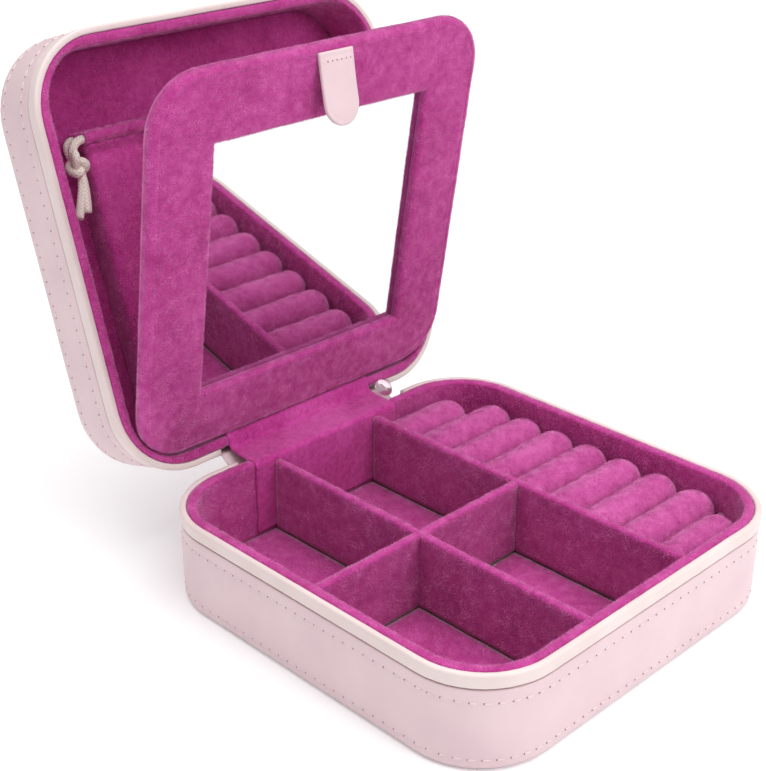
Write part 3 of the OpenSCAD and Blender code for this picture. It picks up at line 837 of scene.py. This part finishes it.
rolls = []
for seed, node in enumerate(roll_nodes):
    points, faces, (x0, cy, cz, r) = roll_start(node, seed)
    # The rolls take the lighter copy of the velvet, with its painted light.
    made = new_piece(f"foam_{node}", points, faces, painted_light_roll_velvet)
    outward(made)
    plump(made)
    wander(made, 0.3, 0.11)
    smooth_out(made)
    settle(made, "base", "velvet", node)
    rolls.append(made)
print("rolls", sum(len(r.data.polygons) for r in rolls), "faces")

# %% [markdown]
# Between the rolls the velvet dips into narrow creases. A bed under them, pleated between
# each pair, closes those creases and the corners beyond the round ends.

# %% Ring tray bed
bed_low, bed_high = size("ring_bed")
roll_y = sorted((size(n)[0][1] + size(n)[1][1]) / 2 for n in roll_nodes)
pitch = (roll_y[-1] - roll_y[0]) / 8
roll_mid = (size(roll_nodes[4])[0][2] + size(roll_nodes[4])[1][2]) / 2
points, faces = [], []
ys = np.arange(-inner_d / 2 + 0.4, inner_d / 2 - 1.0, 0.9)
xs = np.linspace(0, 1, 24)
for y in ys:
    crease = 0.5 - 0.5 * math.cos(2 * math.pi * (y - roll_y[0]) / pitch)
    x0, x1 = ring_x[1][0] + 0.1, inside_x(y, 0.3)
    for s in xs:
        x = x0 + (x1 - x0) * s
        points.append((x, y, roll_mid - 4.5 + 4.0 * crease ** 2))
n, m = len(ys), len(xs)
base = len(points)
points += [(x, y, bed_low[2]) for x, y, _ in points]
for i in range(n - 1):
    for j in range(m - 1):
        a = i * m + j
        faces += [(a, a + 1, a + m + 1, a + m), (base + a, base + a + m, base + a + m + 1,
                                                 base + a + 1)]
loop = [i * m for i in range(n)] + [(n - 1) * m + j for j in range(1,
        m)] + [i * m + m - 1 for i in range(n - 2, -1, -1)] + \
       [j for j in range(m - 2, 0, -1)]
faces += [(a, base + a, base + b, b) for a, b in zip(loop, loop[1:] + loop[:1])]
ring_bed = new_piece("ring_tray_bed", points, faces, fuchsia_velvet)
outward(ring_bed)
settle(ring_bed, "base", "velvet", "ring_bed")

# %% [markdown]
# Three bands cross a hinge: the velvet strip over the rims, the leather spine behind it, and
# the tape that carries the mirror panel. Each is a thin sheet drawn along its own path in
# the side view, a path already bent from one body to the other.

# %% Bands across the hinges
def world_yz(place, y, z):
    p = place @ Vector((0, y * MM, z * MM))
    return p.y / MM, p.z / MM


def band(name, path, width, centre, thickness, material, slack=0.0):
    path = resample(rounded(path, [1.6] * (len(path) - 2), 5), 0.8)
    columns = np.linspace(-width / 2, width / 2, int(width / 1.6) + 1) + centre
    rows = [[(x, p[0], p[1]) for x in columns] for p in path]
    made = skin(name, rows, material)
    if slack:
        wander(made, slack, 0.15)
    thick(made, thickness, 0)
    edge = made.modifiers.new("edge", "BEVEL")
    edge.width, edge.segments, edge.limit_method, edge.angle_limit = (
        thickness * 0.4 * MM, 2, "ANGLE", math.radians(60))
    bake(made)
    length = sum(float(np.linalg.norm(b - a)) for a, b in zip(path, path[1:]))
    print(name, round(width, 1), "x", round(length, 1), "mm")
    return made, length


hinge = joints["lid_hinge"]["pos_m"]
hinge_y, hinge_z = hinge[1] / MM, hinge[2] / MM
lid_wall_y = inner_d / 2


def lid_yz(y, z):
    return world_yz(OPEN, y, z)


lip_z, lid_lip = rim_z - 1.0, lid_rim + 1.0
strip_path = [(inner_d / 2 - 0.5, 5.0), (inner_d / 2 - 0.5, lip_z + 0.45), (box_d / 2, lip_z + 0.55),
              (hinge_y + 0.2, lip_z + 0.7),
              lid_yz(box_d / 2 - 0.2, lid_lip - 1.15), lid_yz(box_d / 2 - 1.6, lid_lip - 0.55),
              lid_yz(lid_wall_y - 0.5, lid_lip - 0.5),
              lid_yz(lid_wall_y - 0.5, lid_lip + 11)]
hinge_strip, length = band("velvet_hinge_strip", strip_path, strip_w, 0, 0.8, fuchsia_velvet, 0.1)
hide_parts("hinge_strip")
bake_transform(hinge_strip)

spine_low, spine_high = size("hinge_spine")
spine_path = [(box_d / 2 + 0.5, spine_low[2]), (box_d / 2 + 0.5, rim_z - 8.2),
              (box_d / 2 + 2.2, rim_z - 5.6),
              lid_yz(box_d / 2 + 0.9, lid_rim + 1.8), lid_yz(box_d / 2 + 0.5, lid_rim + 4),
              lid_yz(box_d / 2 + 0.5, lid_rim + 13.5)]
spine, length = band("leather_hinge_spine", spine_path, spine_high[0] - spine_low[0],
                     (spine_low[0] + spine_high[0]) / 2, 0.9, blush_leather)
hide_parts("hinge_spine")
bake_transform(spine)

panel_low, panel_high = size("panel_back_velvet", TILT)
pivot_y, panel_back = panel_high[1], panel_high[2]
tape_low, tape_high = size("panel_hinge_tape")
tape_w = tape_high[0] - tape_low[0]


def panel_yz(y, z):
    return world_yz(TILT, y, z)


tape_path = [panel_yz(pivot_y - 9, panel_back + 0.25), panel_yz(pivot_y - 1.2, panel_back + 0.3),
             lid_yz(pivot_y + 0.6, panel_back + 1.3),
             lid_yz(lid_wall_y - 1.35, panel_back + 3.5), lid_yz(lid_wall_y - 1.3, panel_back + 7)]
tape, length = band("panel_velvet_tape", tape_path, tape_w, 0, 0.5, fuchsia_velvet)
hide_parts("panel_hinge_tape")
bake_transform(tape)

# %% [markdown]
# At the end of the strip sits a small clear stop of soft rubber that cushions the lid. It
# is a turned dome with a thin brim. It is squeezed flat when the lid shuts.

# %% Clear stop
stop_low, stop_high = size("hinge_bumper")
stop_x = (stop_low[0] + stop_high[0]) / 2
lean = math.radians(36)
stop_foot = Vector((stop_x, hinge_y + 0.2, rim_z + 1.5))
profile = [(0.0, -0.6), (2.6, -0.6), (3.35, -0.45), (3.5, -0.1), (3.3, 0.15), (3.1, 0.5), (2.8, 1.05),
           (2.3, 1.6), (1.6, 2.0), (0.8, 2.2), (0.0, 2.25)]
rows = []
for k in range(32):
    a = 2 * math.pi * k / 32
    rows.append([stop_foot + Vector((r * math.cos(a),
                                     r * math.sin(a) * math.cos(lean) - h * math.sin(lean),
                                     r * math.sin(a) * math.sin(lean) + h * math.cos(lean))) for r,
                                     h in profile])
stop = skin("clear_lid_stop", rows, clear_rubber, close_rows=True)
outward(stop, join=1e-6)
settle(stop, "base", "bumper", "hinge_bumper")
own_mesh(stop)

# %% [markdown]
# The lid's top is a leather cover over board with a little padding, so it crowns slightly
# inside its stitched edge. The same patch of rings, shrinking from the outline to the
# middle, also makes the velvet sheet on the lid's inner floor.

# %% Lid top and lid floor
def shrinking_plate(name, w, d, r, z, up, material, crown, place, drop=0.5, thickness=0.9, y0=0.0,
                    rings=26):
    rows = []
    for k in range(rings + 1):
        t = (k / rings) ** 1.3
        f = 1 - t
        spots, _ = rim(max(w * f, 0.02), max(d * f, 0.02), max(r * f, 0.005), gap=1e9, y0=y0)
        rise = crown * (1 - f ** 3) - drop * math.exp(-t * w / 2 / 0.6)
        rows.append([(x, y, z + up * rise) for x, y in spots])
    made = skin(name, rows, material, place, close_columns=True, caps=False)
    outward(made, join=4e-5)
    out_way = (place.to_3x3() @ Vector((0, 0, up))).normalized()
    middle = max(made.data.polygons, key=lambda f: f.area)
    if middle.normal.dot(out_way) < 0:
        made.data.flip_normals()
    thick(made, thickness, -1)
    return made


cover_low, cover_high = size("lid_top_cover", OPEN)
cover_w, cover_d = cover_high[0] - cover_low[0], cover_high[1] - cover_low[1]
lid_cover = shrinking_plate("lid_leather_top", cover_w, cover_d, corner_r - 8.2, cover_high[2], 1,
                            blush_leather, 0.5, OPEN)
settle(lid_cover, "lid", "leather", "lid_top_cover")
floor_low, floor_high = size("lid_floor_lining", OPEN)
lid_floor = shrinking_plate("lid_velvet_floor", inner_w - 0.2, inner_d - 0.2, 17.6, floor_low[2], -1,
                            fuchsia_velvet, 0.25, OPEN, 0.3, 0.8)
wander(lid_floor, 0.2, 0.06)
settle(lid_floor, "lid", "velvet", "lid_floor_lining")

# %% [markdown]
# The pocket is a flat velvet pouch on the lid's floor. Its mouth faces the panel's upper
# edge, and the elastic in the hem gathers it, so small pleats run from the hem and fade
# along the pouch. One sheet makes its face and both sides, and goes under to the floor.

# %% Pocket
pocket_low, pocket_high = size("pocket", OPEN)
lift = pocket_high[2] - pocket_low[2]
rows = []
px0, px1 = pocket_low[0], pocket_high[0]
across = [(px0 + 0.3, pocket_high[2] - 0.5), (px0 + 0.3, pocket_low[2] + 0.6),
          (px1 - 0.3, pocket_low[2] + 0.6), (px1 - 0.3, pocket_high[2] - 0.5)]
across = resample(rounded(across, [3, 3], 8), 0.9)
ys = np.arange(pocket_low[1] - 0.2, pocket_high[1] - 0.3, 1.1)
for y in ys:
    from_mouth, from_end = y - ys[0], ys[-1] - y
    pleat = math.exp(-from_mouth / 16)
    tuck = math.exp(-((from_mouth - 3.0) / 2.4) ** 2)
    shut = max(0.0, 1 - from_end / 9) ** 2
    row = []
    for x, z in across:
        inward = (z - pocket_low[2]) / lift
        bend_in = 0.55 * pleat * (0.5 + 0.5
                                  * math.sin(x * 1.15 + 1.3 * math.sin(x * 0.31))) + 1.5 * tuck
        z = z + (1 - inward) * bend_in + (pocket_high[2] - 0.6 - z) * shut + \
            (1 - inward) * 0.8 * (0.5 + 0.5 * noise.noise(Vector((x * 0.05, y * 0.05, 4))))
        row.append((x * (1 - 0.02 * tuck), y, z))
    rows.append(row)
pocket = skin("velvet_pocket", rows, fuchsia_velvet, OPEN)
wander(pocket, 0.35, 0.09)
thick(pocket, 0.9, 0)
settle(pocket, "lid", "velvet", "pocket")
print("pocket", len(pocket.data.polygons), "faces")

rows = []
for side_z, inner in ((front_z, 1), (back_z, -1)):
    rows = []
    for x in np.linspace(hem_low[0], hem_high[0], 150):
        pinch = 0.24 * math.sin(x * 1.15 + 1.3 * math.sin(x
                * 0.31)) + 0.12 * noise.noise(Vector((x * 0.6, side_z, 0)))
        end = min(x - hem_low[0], hem_high[0] - x)
        r = (2.12 if end > 0.4 else 1.95) + pinch * 0.6
        ring = []
        for k in range(20):
            a = 2 * math.pi * k / 20
            ring.append((x, hem_y + r * math.cos(a), side_z + r * math.sin(a)))
        rows.append(ring)
    made = skin("pocket_hem_front" if inner > 0 else "pocket_hem_back", rows, fuchsia_velvet, OPEN,
                close_columns=True)
    thick(made, 0.5, -1)
    settle(made, "lid", "velvet", "pocket_hem")
    hem_pieces = (hem_pieces if inner < 0 else []) + [made]

# %% [markdown]
# The mirror panel is a board frame wrapped in velvet. The skin starts at the outer edge,
# crosses the face and rolls over the window's edge down to the glass. Every ring has as
# many points as the next, corner facing corner, so the face has even faces everywhere.
# A shallow line near the outer edge is the seam of the edge strip.

# %% Mirror panel
def loop_of(w, d, r, y0, m=24):
    out = []
    for sx, sy, start in ((1, 1, 0), (-1, 1, 90), (-1, -1, 180), (1, -1, 270)):
        quarter = []
        hx, hy = w / 2 - r, d / 2 - r
        first = [(w / 2, 0), (w / 2, hy)] if start in (0, 180) else [(0, d / 2), (hx, d / 2)]
        for k in range(m):
            t = k / m
            quarter.append((first[0][0] + (first[1][0] - first[0][0]) * t,
                            first[0][1] + (first[1][1] - first[0][1]) * t))
        for k in range(13):
            a = math.radians(90 * k / 12)
            c, s = (math.cos(a), math.sin(a)) if start in (0, 180) else (math.sin(a), math.cos(a))
            quarter.append((hx + r * c, hy + r * s))
        last = [(hx, d / 2), (0, d / 2)] if start in (0, 180) else [(w / 2, hy), (w / 2, 0)]
        for k in range(1, m):
            t = k / m
            quarter.append((last[0][0] + (last[1][0] - last[0][0]) * t,
                            last[0][1] + (last[1][1] - last[0][1]) * t))
        out += [(sx * x, sy * y + y0) for x, y in quarter]
    return out


front_low, front_high = size("panel_front_velvet", TILT)
panel_w, panel_l = front_high[0] - front_low[0], front_high[1] - front_low[1]
panel_y = (front_low[1] + front_high[1]) / 2
panel_front = front_low[2]
glass_low, glass_high = size("mirror_glass", TILT)
glass_lap = 4.0
window_w, window_h = (glass_high[0] - glass_low[0] - 2 * glass_lap,
                      glass_high[1] - glass_low[1] - 2 * glass_lap)
window_y = (glass_low[1] + glass_high[1]) / 2
outer_loop = np.array(loop_of(panel_w, panel_l, 17.2, panel_y))
window_loop = np.array(loop_of(window_w, window_h, 0.7, window_y))


def ring_at(t, inset, z):
    a = np.array(loop_of(panel_w - 2 * inset, panel_l - 2 * inset, 17.2 - inset,
                         panel_y)) if inset else outer_loop
    flat = a * (1 - t) + window_loop * t
    return np.column_stack([flat, np.full(len(flat), z)])


rings = [ring_at(0, 0, panel_back - 0.55), ring_at(0, 0, panel_front + 1.6),
         ring_at(0, 0.12, panel_front + 0.9), ring_at(0, 0.5, panel_front + 0.35),
         ring_at(0, 1.1, panel_front + 0.06), ring_at(0, 1.7, panel_front + 0.04),
         ring_at(0, 2.1, panel_front + 0.3), ring_at(0, 2.5, panel_front + 0.02)]
for t in np.linspace(0.06, 0.93, 18):
    rings.append(ring_at(t, 2.5 * (1 - t), panel_front - 0.12 * math.sin(math.pi * t)))
rings += [ring_at(0.96, 0.1, panel_front + 0.05), ring_at(0.985, 0, panel_front + 0.2),
          ring_at(0.998, 0, panel_front + 0.55),
          ring_at(1, 0, panel_front + 1.2), ring_at(1, 0, glass_low[2] - 0.05)]
panel_face = skin("panel_velvet_face", rings, fuchsia_velvet, TILT, close_columns=True)
towards = (TILT.to_3x3() @ Vector((0, 0, -1))).normalized()
if max(panel_face.data.polygons, key=lambda f: f.area).normal.dot(towards) < 0:
    panel_face.data.flip_normals()
smooth_out(panel_face)
wander(panel_face, 0.13, 0.12)
thick(panel_face, 0.55, -1)
settle(panel_face, "mirror_panel", "velvet", "panel_front_velvet")
panel_rear = shrinking_plate("panel_velvet_back", panel_w - 0.3, panel_l - 0.3, 17.0, panel_back, 1,
                             fuchsia_velvet, 0.1, TILT, 0.35, 0.55, panel_y)
wander(panel_rear, 0.15, 0.08)
settle(panel_rear, "mirror_panel", "velvet", "panel_back_velvet")
print("panel", round(panel_w, 1), "x", round(panel_l, 1), "window", round(window_w, 1), "x",
      round(window_h, 1))

# %% [markdown]
# The pull tab is two layers of leather with a round end, sewn to the panel by one row of
# stitches. It springs a little away from the velvet, and its edge is rounded and pressed.

# %% Pull tab
tab_low, tab_high = size("pull_tab", LIFT)
tab_w, tab_l = tab_high[0] - tab_low[0], tab_high[1] - tab_low[1]
tab_top, tab_bottom = tab_low[2], tab_high[2]
edge_line = [(-tab_w / 2, 0), (-tab_w / 2, tab_l - tab_w / 2)]
edge_line += [(tab_w / 2 * math.cos(a),
               tab_l - tab_w / 2 + tab_w / 2 * math.sin(a)) for a in np.linspace(math.pi, 0, 19)]
edge_line += [(tab_w / 2, tab_l - tab_w / 2), (tab_w / 2, 0)]
edge_line = resample(edge_line, 1.2)[:-1]
edge_line += [tuple(p) for p in resample([(tab_w / 2, 0), (-tab_w / 2, 0)], 1.2)[:-1]]
edge_line = np.array([tuple(p) for p in edge_line], float)
middle = np.array([0, tab_l * 0.48])
rows = []
half_t = (tab_bottom - tab_top) / 2
for inset, z in ((12, 0.0), (5, 0.0), (1.9, 0.0), (1.4, 0.14), (1.0, 0.0), (0.35, 0.04), (0.08, 0.3),
                 (0, 0.75), (0.08, 1.15), (0.4, 1.4), (5, 1.4), (12, 1.4)):
    ring = []
    for p in edge_line:
        way = middle - p
        distance = np.linalg.norm(way)
        q = p + way * min(1, inset / distance) if inset < 11.9 else middle.copy()
        curl = 0.9 * (q[1] / tab_l) ** 2
        ring.append((q[0], tab_low[1] + q[1], tab_top + z * (tab_bottom - tab_top) / 1.4 - curl))
    rows.append(ring)
tab = skin("leather_pull_tab", rows, blush_leather, LIFT, close_columns=True)
outward(tab, join=1e-6)
settle(tab, "pull_tab", "leather", "pull_tab")

# %% [markdown]
# A row of stitches is one small thread shape repeated along a line. Geometry Nodes do this
# well: a curve is cut into evenly spaced points, each point gets a thread that lies along
# the curve, and a second pass half a stitch later puts dark dots at the needle holes, as
# painted shade of the holes.

# %% Stitches
thread_leather, tree, shader = finish("sewing_thread", Roughness=0.55, Sheen_Weight=0.2)
twist = add(tree, "ShaderNodeTexWave", Vector=add(tree, "ShaderNodeTexCoord").outputs["Object"],
            Scale=900, Distortion=1.0).outputs[0]
# Darker colour in the twist's grooves: painted shade, from the same wave that drives the bump.
tree.links.new(ramp(tree, twist, (0.2, screen(226, 200, 206)), (0.8, screen(244, 228, 230))),
               shader.inputs["Base Color"])
bump(tree, shader, twist, 0.3, 0.00005)
# Dark dots at the needle holes: painted shade of the small holes.
needle_hole_shade, tree, shader = finish("needle_hole_shade", Roughness=0.9)
tree.links.new(ramp(tree, grain(tree, add(tree, "ShaderNodeTexCoord").outputs["Object"], 700, 2),
                    (0.3, screen(150, 112, 116)),
                    (0.7, screen(182, 146, 148))), shader.inputs["Base Color"])


def stitch_tree():
    made = bpy.data.node_groups.new("stitch_row", "GeometryNodeTree")
    face = made.interface
    face.new_socket("Line", in_out="INPUT", socket_type="NodeSocketGeometry")
    for name, kind in (("Count", "NodeSocketInt"), ("Length", "NodeSocketFloat"),
                       ("Width", "NodeSocketFloat"), ("Material", "NodeSocketMaterial")):
        face.new_socket(name, in_out="INPUT", socket_type=kind)
    face.new_socket("Geometry", in_out="OUTPUT", socket_type="NodeSocketGeometry")
    inputs, out = made.nodes.new("NodeGroupInput"), made.nodes.new("NodeGroupOutput")
    link = made.links.new
    spots = made.nodes.new("GeometryNodeCurveToPoints")
    spots.mode = "COUNT"
    link(inputs.outputs["Line"], spots.inputs["Curve"])
    link(inputs.outputs["Count"], spots.inputs["Count"])
    along = made.nodes.new("FunctionNodeAlignRotationToVector")
    along.axis = "X"
    link(spots.outputs["Tangent"], along.inputs["Vector"])
    bead = made.nodes.new("GeometryNodeMeshUVSphere")
    (bead.inputs["Segments"].default_value, bead.inputs["Rings"].default_value,
     bead.inputs["Radius"].default_value) = 6, 5, 0.5
    scale = made.nodes.new("ShaderNodeCombineXYZ")
    link(inputs.outputs["Length"], scale.inputs["X"])
    link(inputs.outputs["Width"], scale.inputs["Y"])
    link(inputs.outputs["Width"], scale.inputs["Z"])
    put = made.nodes.new("GeometryNodeInstanceOnPoints")
    link(spots.outputs["Points"], put.inputs["Points"])
    link(bead.outputs["Mesh"], put.inputs["Instance"])
    link(along.outputs["Rotation"], put.inputs["Rotation"])
    link(scale.outputs["Vector"], put.inputs["Scale"])
    real = made.nodes.new("GeometryNodeRealizeInstances")
    link(put.outputs["Instances"], real.inputs["Geometry"])
    colour = made.nodes.new("GeometryNodeSetMaterial")
    link(real.outputs["Geometry"], colour.inputs["Geometry"])
    link(inputs.outputs["Material"], colour.inputs["Material"])
    link(colour.outputs["Geometry"], out.inputs["Geometry"])
    return made


def grow_nodes(made, tree, **values):
    """Puts the tree on the object, sets its inputs and keeps the result as a mesh."""
    modifier = made.modifiers.new(tree.name, "NODES")
    modifier.node_group = tree
    for item in tree.interface.items_tree:
        if item.in_out == "INPUT" and item.name in values:
            modifier[item.identifier] = values[item.name]
    name = made.name
    mesh = bpy.data.meshes.new_from_object(made.evaluated_get(bpy.context.evaluated_depsgraph_get()))
    bpy.data.objects.remove(made)
    grown = bpy.data.objects.new(name, mesh)
    bpy.context.scene.collection.objects.link(grown)
    grown.data.shade_smooth()
    return grown


stitches = stitch_tree()


def sew(name, line, closed, body, place, pitch=4.0, thread=3.0, width=0.5):
    """One row: threads, and holes between them, along points in millimetres."""
    line = [np.array(p, float) for p in line]
    total = sum(float(np.linalg.norm(b - a)) for a,
                b in zip(line, line[1:] + (line[:1] if closed else [])))
    count = round(total / pitch)
    for kind, shift, length, wide, material in (("thread", 0.0, thread, width, thread_leather),
                                                ("holes", pitch / 2, 0.62, 0.62, needle_hole_shade)):
        points = line
        if shift:
            walked, k = 0.0, 0
            while walked < shift:
                walked += float(np.linalg.norm(line[k + 1] - line[k]))
                k += 1
            points = line[k:] + (line[:k] if closed else [])
        curve = bpy.data.curves.new(f"{name}_{kind}", "CURVE")
        curve.dimensions = "3D"
        spline = curve.splines.new("POLY")
        spline.points.add(len(points) - 1)
        for slot, p in zip(spline.points, points):
            slot.co = (*(place @ (Vector(p) * MM)), 1)
        spline.use_cyclic_u = closed
        made = bpy.data.objects.new(f"{name}_{kind}", curve)
        bpy.context.scene.collection.objects.link(made)
        grown = grow_nodes(made, stitches, Count=count, Length=length * MM, Width=wide * MM,
                           Material=material)
        settle(grown, body, "leather")
    print(name, count, "stitches over", round(total), "mm")


def round_line(z, out):
    spots, ways = outline
    return [(p[0] + w[0] * out, p[1] + w[1] * out, z) for p, w in zip(spots, ways)]


sew("base_upper_stitches", round_line(base_side_h - stitch_top, -0.13), True, "base", STAY)
sew("base_lower_stitches", round_line(stitch_low, -0.13), True, "base", STAY)
sew("lid_upper_stitches", round_line(lid_top - lid_side_h + stitch_top, -0.13), True, "lid", OPEN)
sew("lid_lower_stitches", round_line(lid_top - stitch_low, -0.13), True, "lid", OPEN)
tab_row = [(x, tab_low[1] + 3.0, tab_top + 0.02) for x in np.linspace(-tab_w / 2 + 1.6, tab_w / 2 - 1.6,
        24)]
sew("tab_stitches", tab_row, False, "pull_tab", LIFT, 1.9, 1.4, 0.4)

# %% [markdown]
# The pile itself: hundreds of thousands of very short fibres make velvet edges look soft.
# Geometry Nodes scatter points on a surface and stand a narrow blade on each, leaning by a
# random amount. Each blade is a single thin triangle, so that a whole wall stays light.

# %% Velvet pile
def pile_tree():
    made = bpy.data.node_groups.new("velvet_pile", "GeometryNodeTree")
    face = made.interface
    face.new_socket("Surface", in_out="INPUT", socket_type="NodeSocketGeometry")
    for name, kind in (("Density", "NodeSocketFloat"), ("Length", "NodeSocketFloat"),
                       ("Width", "NodeSocketFloat"),
                       ("Lean", "NodeSocketFloat"), ("Seed", "NodeSocketInt"),
                       ("Material", "NodeSocketMaterial")):
        face.new_socket(name, in_out="INPUT", socket_type=kind)
    face.new_socket("Geometry", in_out="OUTPUT", socket_type="NodeSocketGeometry")
    inputs, out = made.nodes.new("NodeGroupInput"), made.nodes.new("NodeGroupOutput")
    link = made.links.new
    spread = made.nodes.new("GeometryNodeDistributePointsOnFaces")
    link(inputs.outputs["Surface"], spread.inputs["Mesh"])
    link(inputs.outputs["Density"], spread.inputs["Density"])
    link(inputs.outputs["Seed"], spread.inputs["Seed"])
    blade = made.nodes.new("GeometryNodeMeshCircle")
    blade.fill_type = "NGON"
    blade.inputs["Vertices"].default_value, blade.inputs["Radius"].default_value = 3, 1.0
    shaped = made.nodes.new("GeometryNodeTransform")
    link(blade.outputs["Mesh"], shaped.inputs["Geometry"])
    size_of = made.nodes.new("ShaderNodeCombineXYZ")
    link(inputs.outputs["Length"], size_of.inputs["X"])
    link(inputs.outputs["Width"], size_of.inputs["Y"])
    size_of.inputs["Z"].default_value = 1
    link(size_of.outputs["Vector"], shaped.inputs["Scale"])
    shaped.inputs["Rotation"].default_value = (0, -math.pi / 2, 0)
    leaning = made.nodes.new("FunctionNodeRandomValue")
    leaning.data_type = "FLOAT_VECTOR"
    low = made.nodes.new("ShaderNodeCombineXYZ")
    high = made.nodes.new("ShaderNodeCombineXYZ")
    negative = made.nodes.new("ShaderNodeMath")
    negative.operation = "MULTIPLY"
    negative.inputs[1].default_value = -1
    link(inputs.outputs["Lean"], negative.inputs[0])
    for axis in "XY":
        link(negative.outputs[0], low.inputs[axis])
        link(inputs.outputs["Lean"], high.inputs[axis])
    high.inputs["Z"].default_value = 2 * math.pi
    link(low.outputs[0], leaning.inputs["Min"])
    link(high.outputs[0], leaning.inputs["Max"])
    link(inputs.outputs["Seed"], leaning.inputs["Seed"])
    as_turn = made.nodes.new("FunctionNodeEulerToRotation")
    link(leaning.outputs["Value"], as_turn.inputs["Euler"])
    both = made.nodes.new("FunctionNodeRotateRotation")
    both.rotation_space = "LOCAL"
    link(spread.outputs["Rotation"], both.inputs["Rotation"])
    link(as_turn.outputs["Rotation"], both.inputs["Rotate By"])
    put = made.nodes.new("GeometryNodeInstanceOnPoints")
    link(spread.outputs["Points"], put.inputs["Points"])
    link(shaped.outputs["Geometry"], put.inputs["Instance"])
    link(both.outputs["Rotation"], put.inputs["Rotation"])
    real = made.nodes.new("GeometryNodeRealizeInstances")
    link(put.outputs["Instances"], real.inputs["Geometry"])
    colour = made.nodes.new("GeometryNodeSetMaterial")
    link(real.outputs["Geometry"], colour.inputs["Geometry"])
    link(inputs.outputs["Material"], colour.inputs["Material"])
    link(colour.outputs["Geometry"], out.inputs["Geometry"])
    return made


pile = pile_tree()


def grow_pile(name, surface, body, per_mm2, length=0.55, width=0.09, lean=0.9, seed=1, keep=None):
    """Pile on the faces of a piece that keep() accepts, as its own mesh on the same body."""
    shape = bmesh.new()
    shape.from_mesh(surface.data)
    if keep:
        gone = [f for f in shape.faces if not keep(f.calc_center_median() / MM, f.normal)]
        bmesh.ops.delete(shape, geom=gone, context="FACES")
    area = sum(f.calc_area() for f in shape.faces) / MM ** 2
    mesh = bpy.data.meshes.new(name)
    shape.to_mesh(mesh)
    shape.free()
    made = bpy.data.objects.new(name, mesh)
    bpy.context.scene.collection.objects.link(made)
    grown = grow_nodes(made, pile, Density=min(per_mm2, 190000 / area) / MM ** 2, Length=length * MM,
                       Width=width * MM, Lean=lean,
                       Seed=seed, Material=painted_sheen_fibre)
    settle(grown, body, "velvet")
    print(name, round(area), "mm2", len(grown.data.polygons), "fibres")
    return grown


shut_back = OPEN.inverted()
grow_pile("base_wall_pile", base_lining, "base", 9, seed=2, keep=lambda c,
          n: c.z > 4 and (n.z > 0.3 or n.x * c.x + n.y * c.y < 0))
grow_pile("lid_wall_pile", lid_lining, "lid", 9, seed=3, keep=lambda c, n: True)
for seed, piece in enumerate(dividers):
    grow_pile(piece.name + "_pile", piece, "base", 11, seed=10 + seed, keep=lambda c, n: c.z > 5)
grow_pile("tray_floor_pile", floor_pads, "base", 9, seed=20, keep=lambda c, n: n.z > 0.3)
for seed, piece in enumerate(rolls):
    grow_pile(piece.name + "_pile", piece, "base", 14, seed=30 + seed, keep=lambda c,
              n: c.z > roll_mid - 2)
grow_pile("panel_face_pile", panel_face, "mirror_panel", 13, seed=40, keep=lambda c,
          n: n.dot(towards) > -0.35)
grow_pile("pocket_pile", pocket, "lid", 8, seed=41, keep=lambda c, n: (shut_back.to_3x3() @ n).z < 0.2)
grow_pile("lid_floor_pile", lid_floor, "lid", 8, seed=42, keep=lambda c,
          n: (shut_back.to_3x3() @ n).z < 0)
for piece in hem_pieces:
    grow_pile(piece.name + "_pile", piece, "lid", 14, seed=43)

# %% [markdown]
# The studio: a plain pale floor that fades into a bright surround, one large soft light from
# the upper left, a weaker one from the right and a low fill, so that shadows stay soft.

# %% Floor and lights
floor_white, tree, shader = finish("floor_white", Roughness=0.8, Emission_Color=(1, 1, 1, 1),
                                   Emission_Strength=0.12)
paper = grain(tree, add(tree, "ShaderNodeTexCoord").outputs["Object"], 30, 2)
tree.links.new(ramp(tree, paper, (0.0, (0.93, 0.93, 0.94, 1)), (1.0, (0.95, 0.95, 0.96, 1))),
               shader.inputs["Base Color"])
floor = new_piece("studio_floor", [(-4000, -4000, -0.3), (4000, -4000, -0.3), (4000, 4000, -0.3),
                                   (-4000, 4000, -0.3)], [(0, 1, 2, 3)], floor_white)

world = bpy.data.worlds.new("studio")
bpy.context.scene.world = world
world.use_nodes = True
world.node_tree.nodes["Background"].inputs["Color"].default_value = (1, 1, 1, 1)
world.node_tree.nodes["Background"].inputs["Strength"].default_value = 0.42


def soft_light(name, where, watts, across, colour=(1, 1, 1)):
    lamp = bpy.data.lights.new(name, "AREA")
    lamp.energy, lamp.size, lamp.color = watts, across, colour
    made = bpy.data.objects.new(name, lamp)
    made.location = where
    made.rotation_euler = (Vector((0, 0, 0.05)) - Vector(where)).to_track_quat("-Z", "Y").to_euler()
    bpy.context.scene.collection.objects.link(made)


soft_light("top", (0.1, 0.0, 2.2), 50, 2.6)
soft_light("key", (0.2, -1.0, 0.9), 4.2, 0.6)
soft_light("side", (0.6, -0.9, 0.45), 1.2, 0.6)
soft_light("fill", (-1.0, -0.5, 0.8), 0.6, 0.7)
bpy.context.scene.view_settings.view_transform = "Standard"
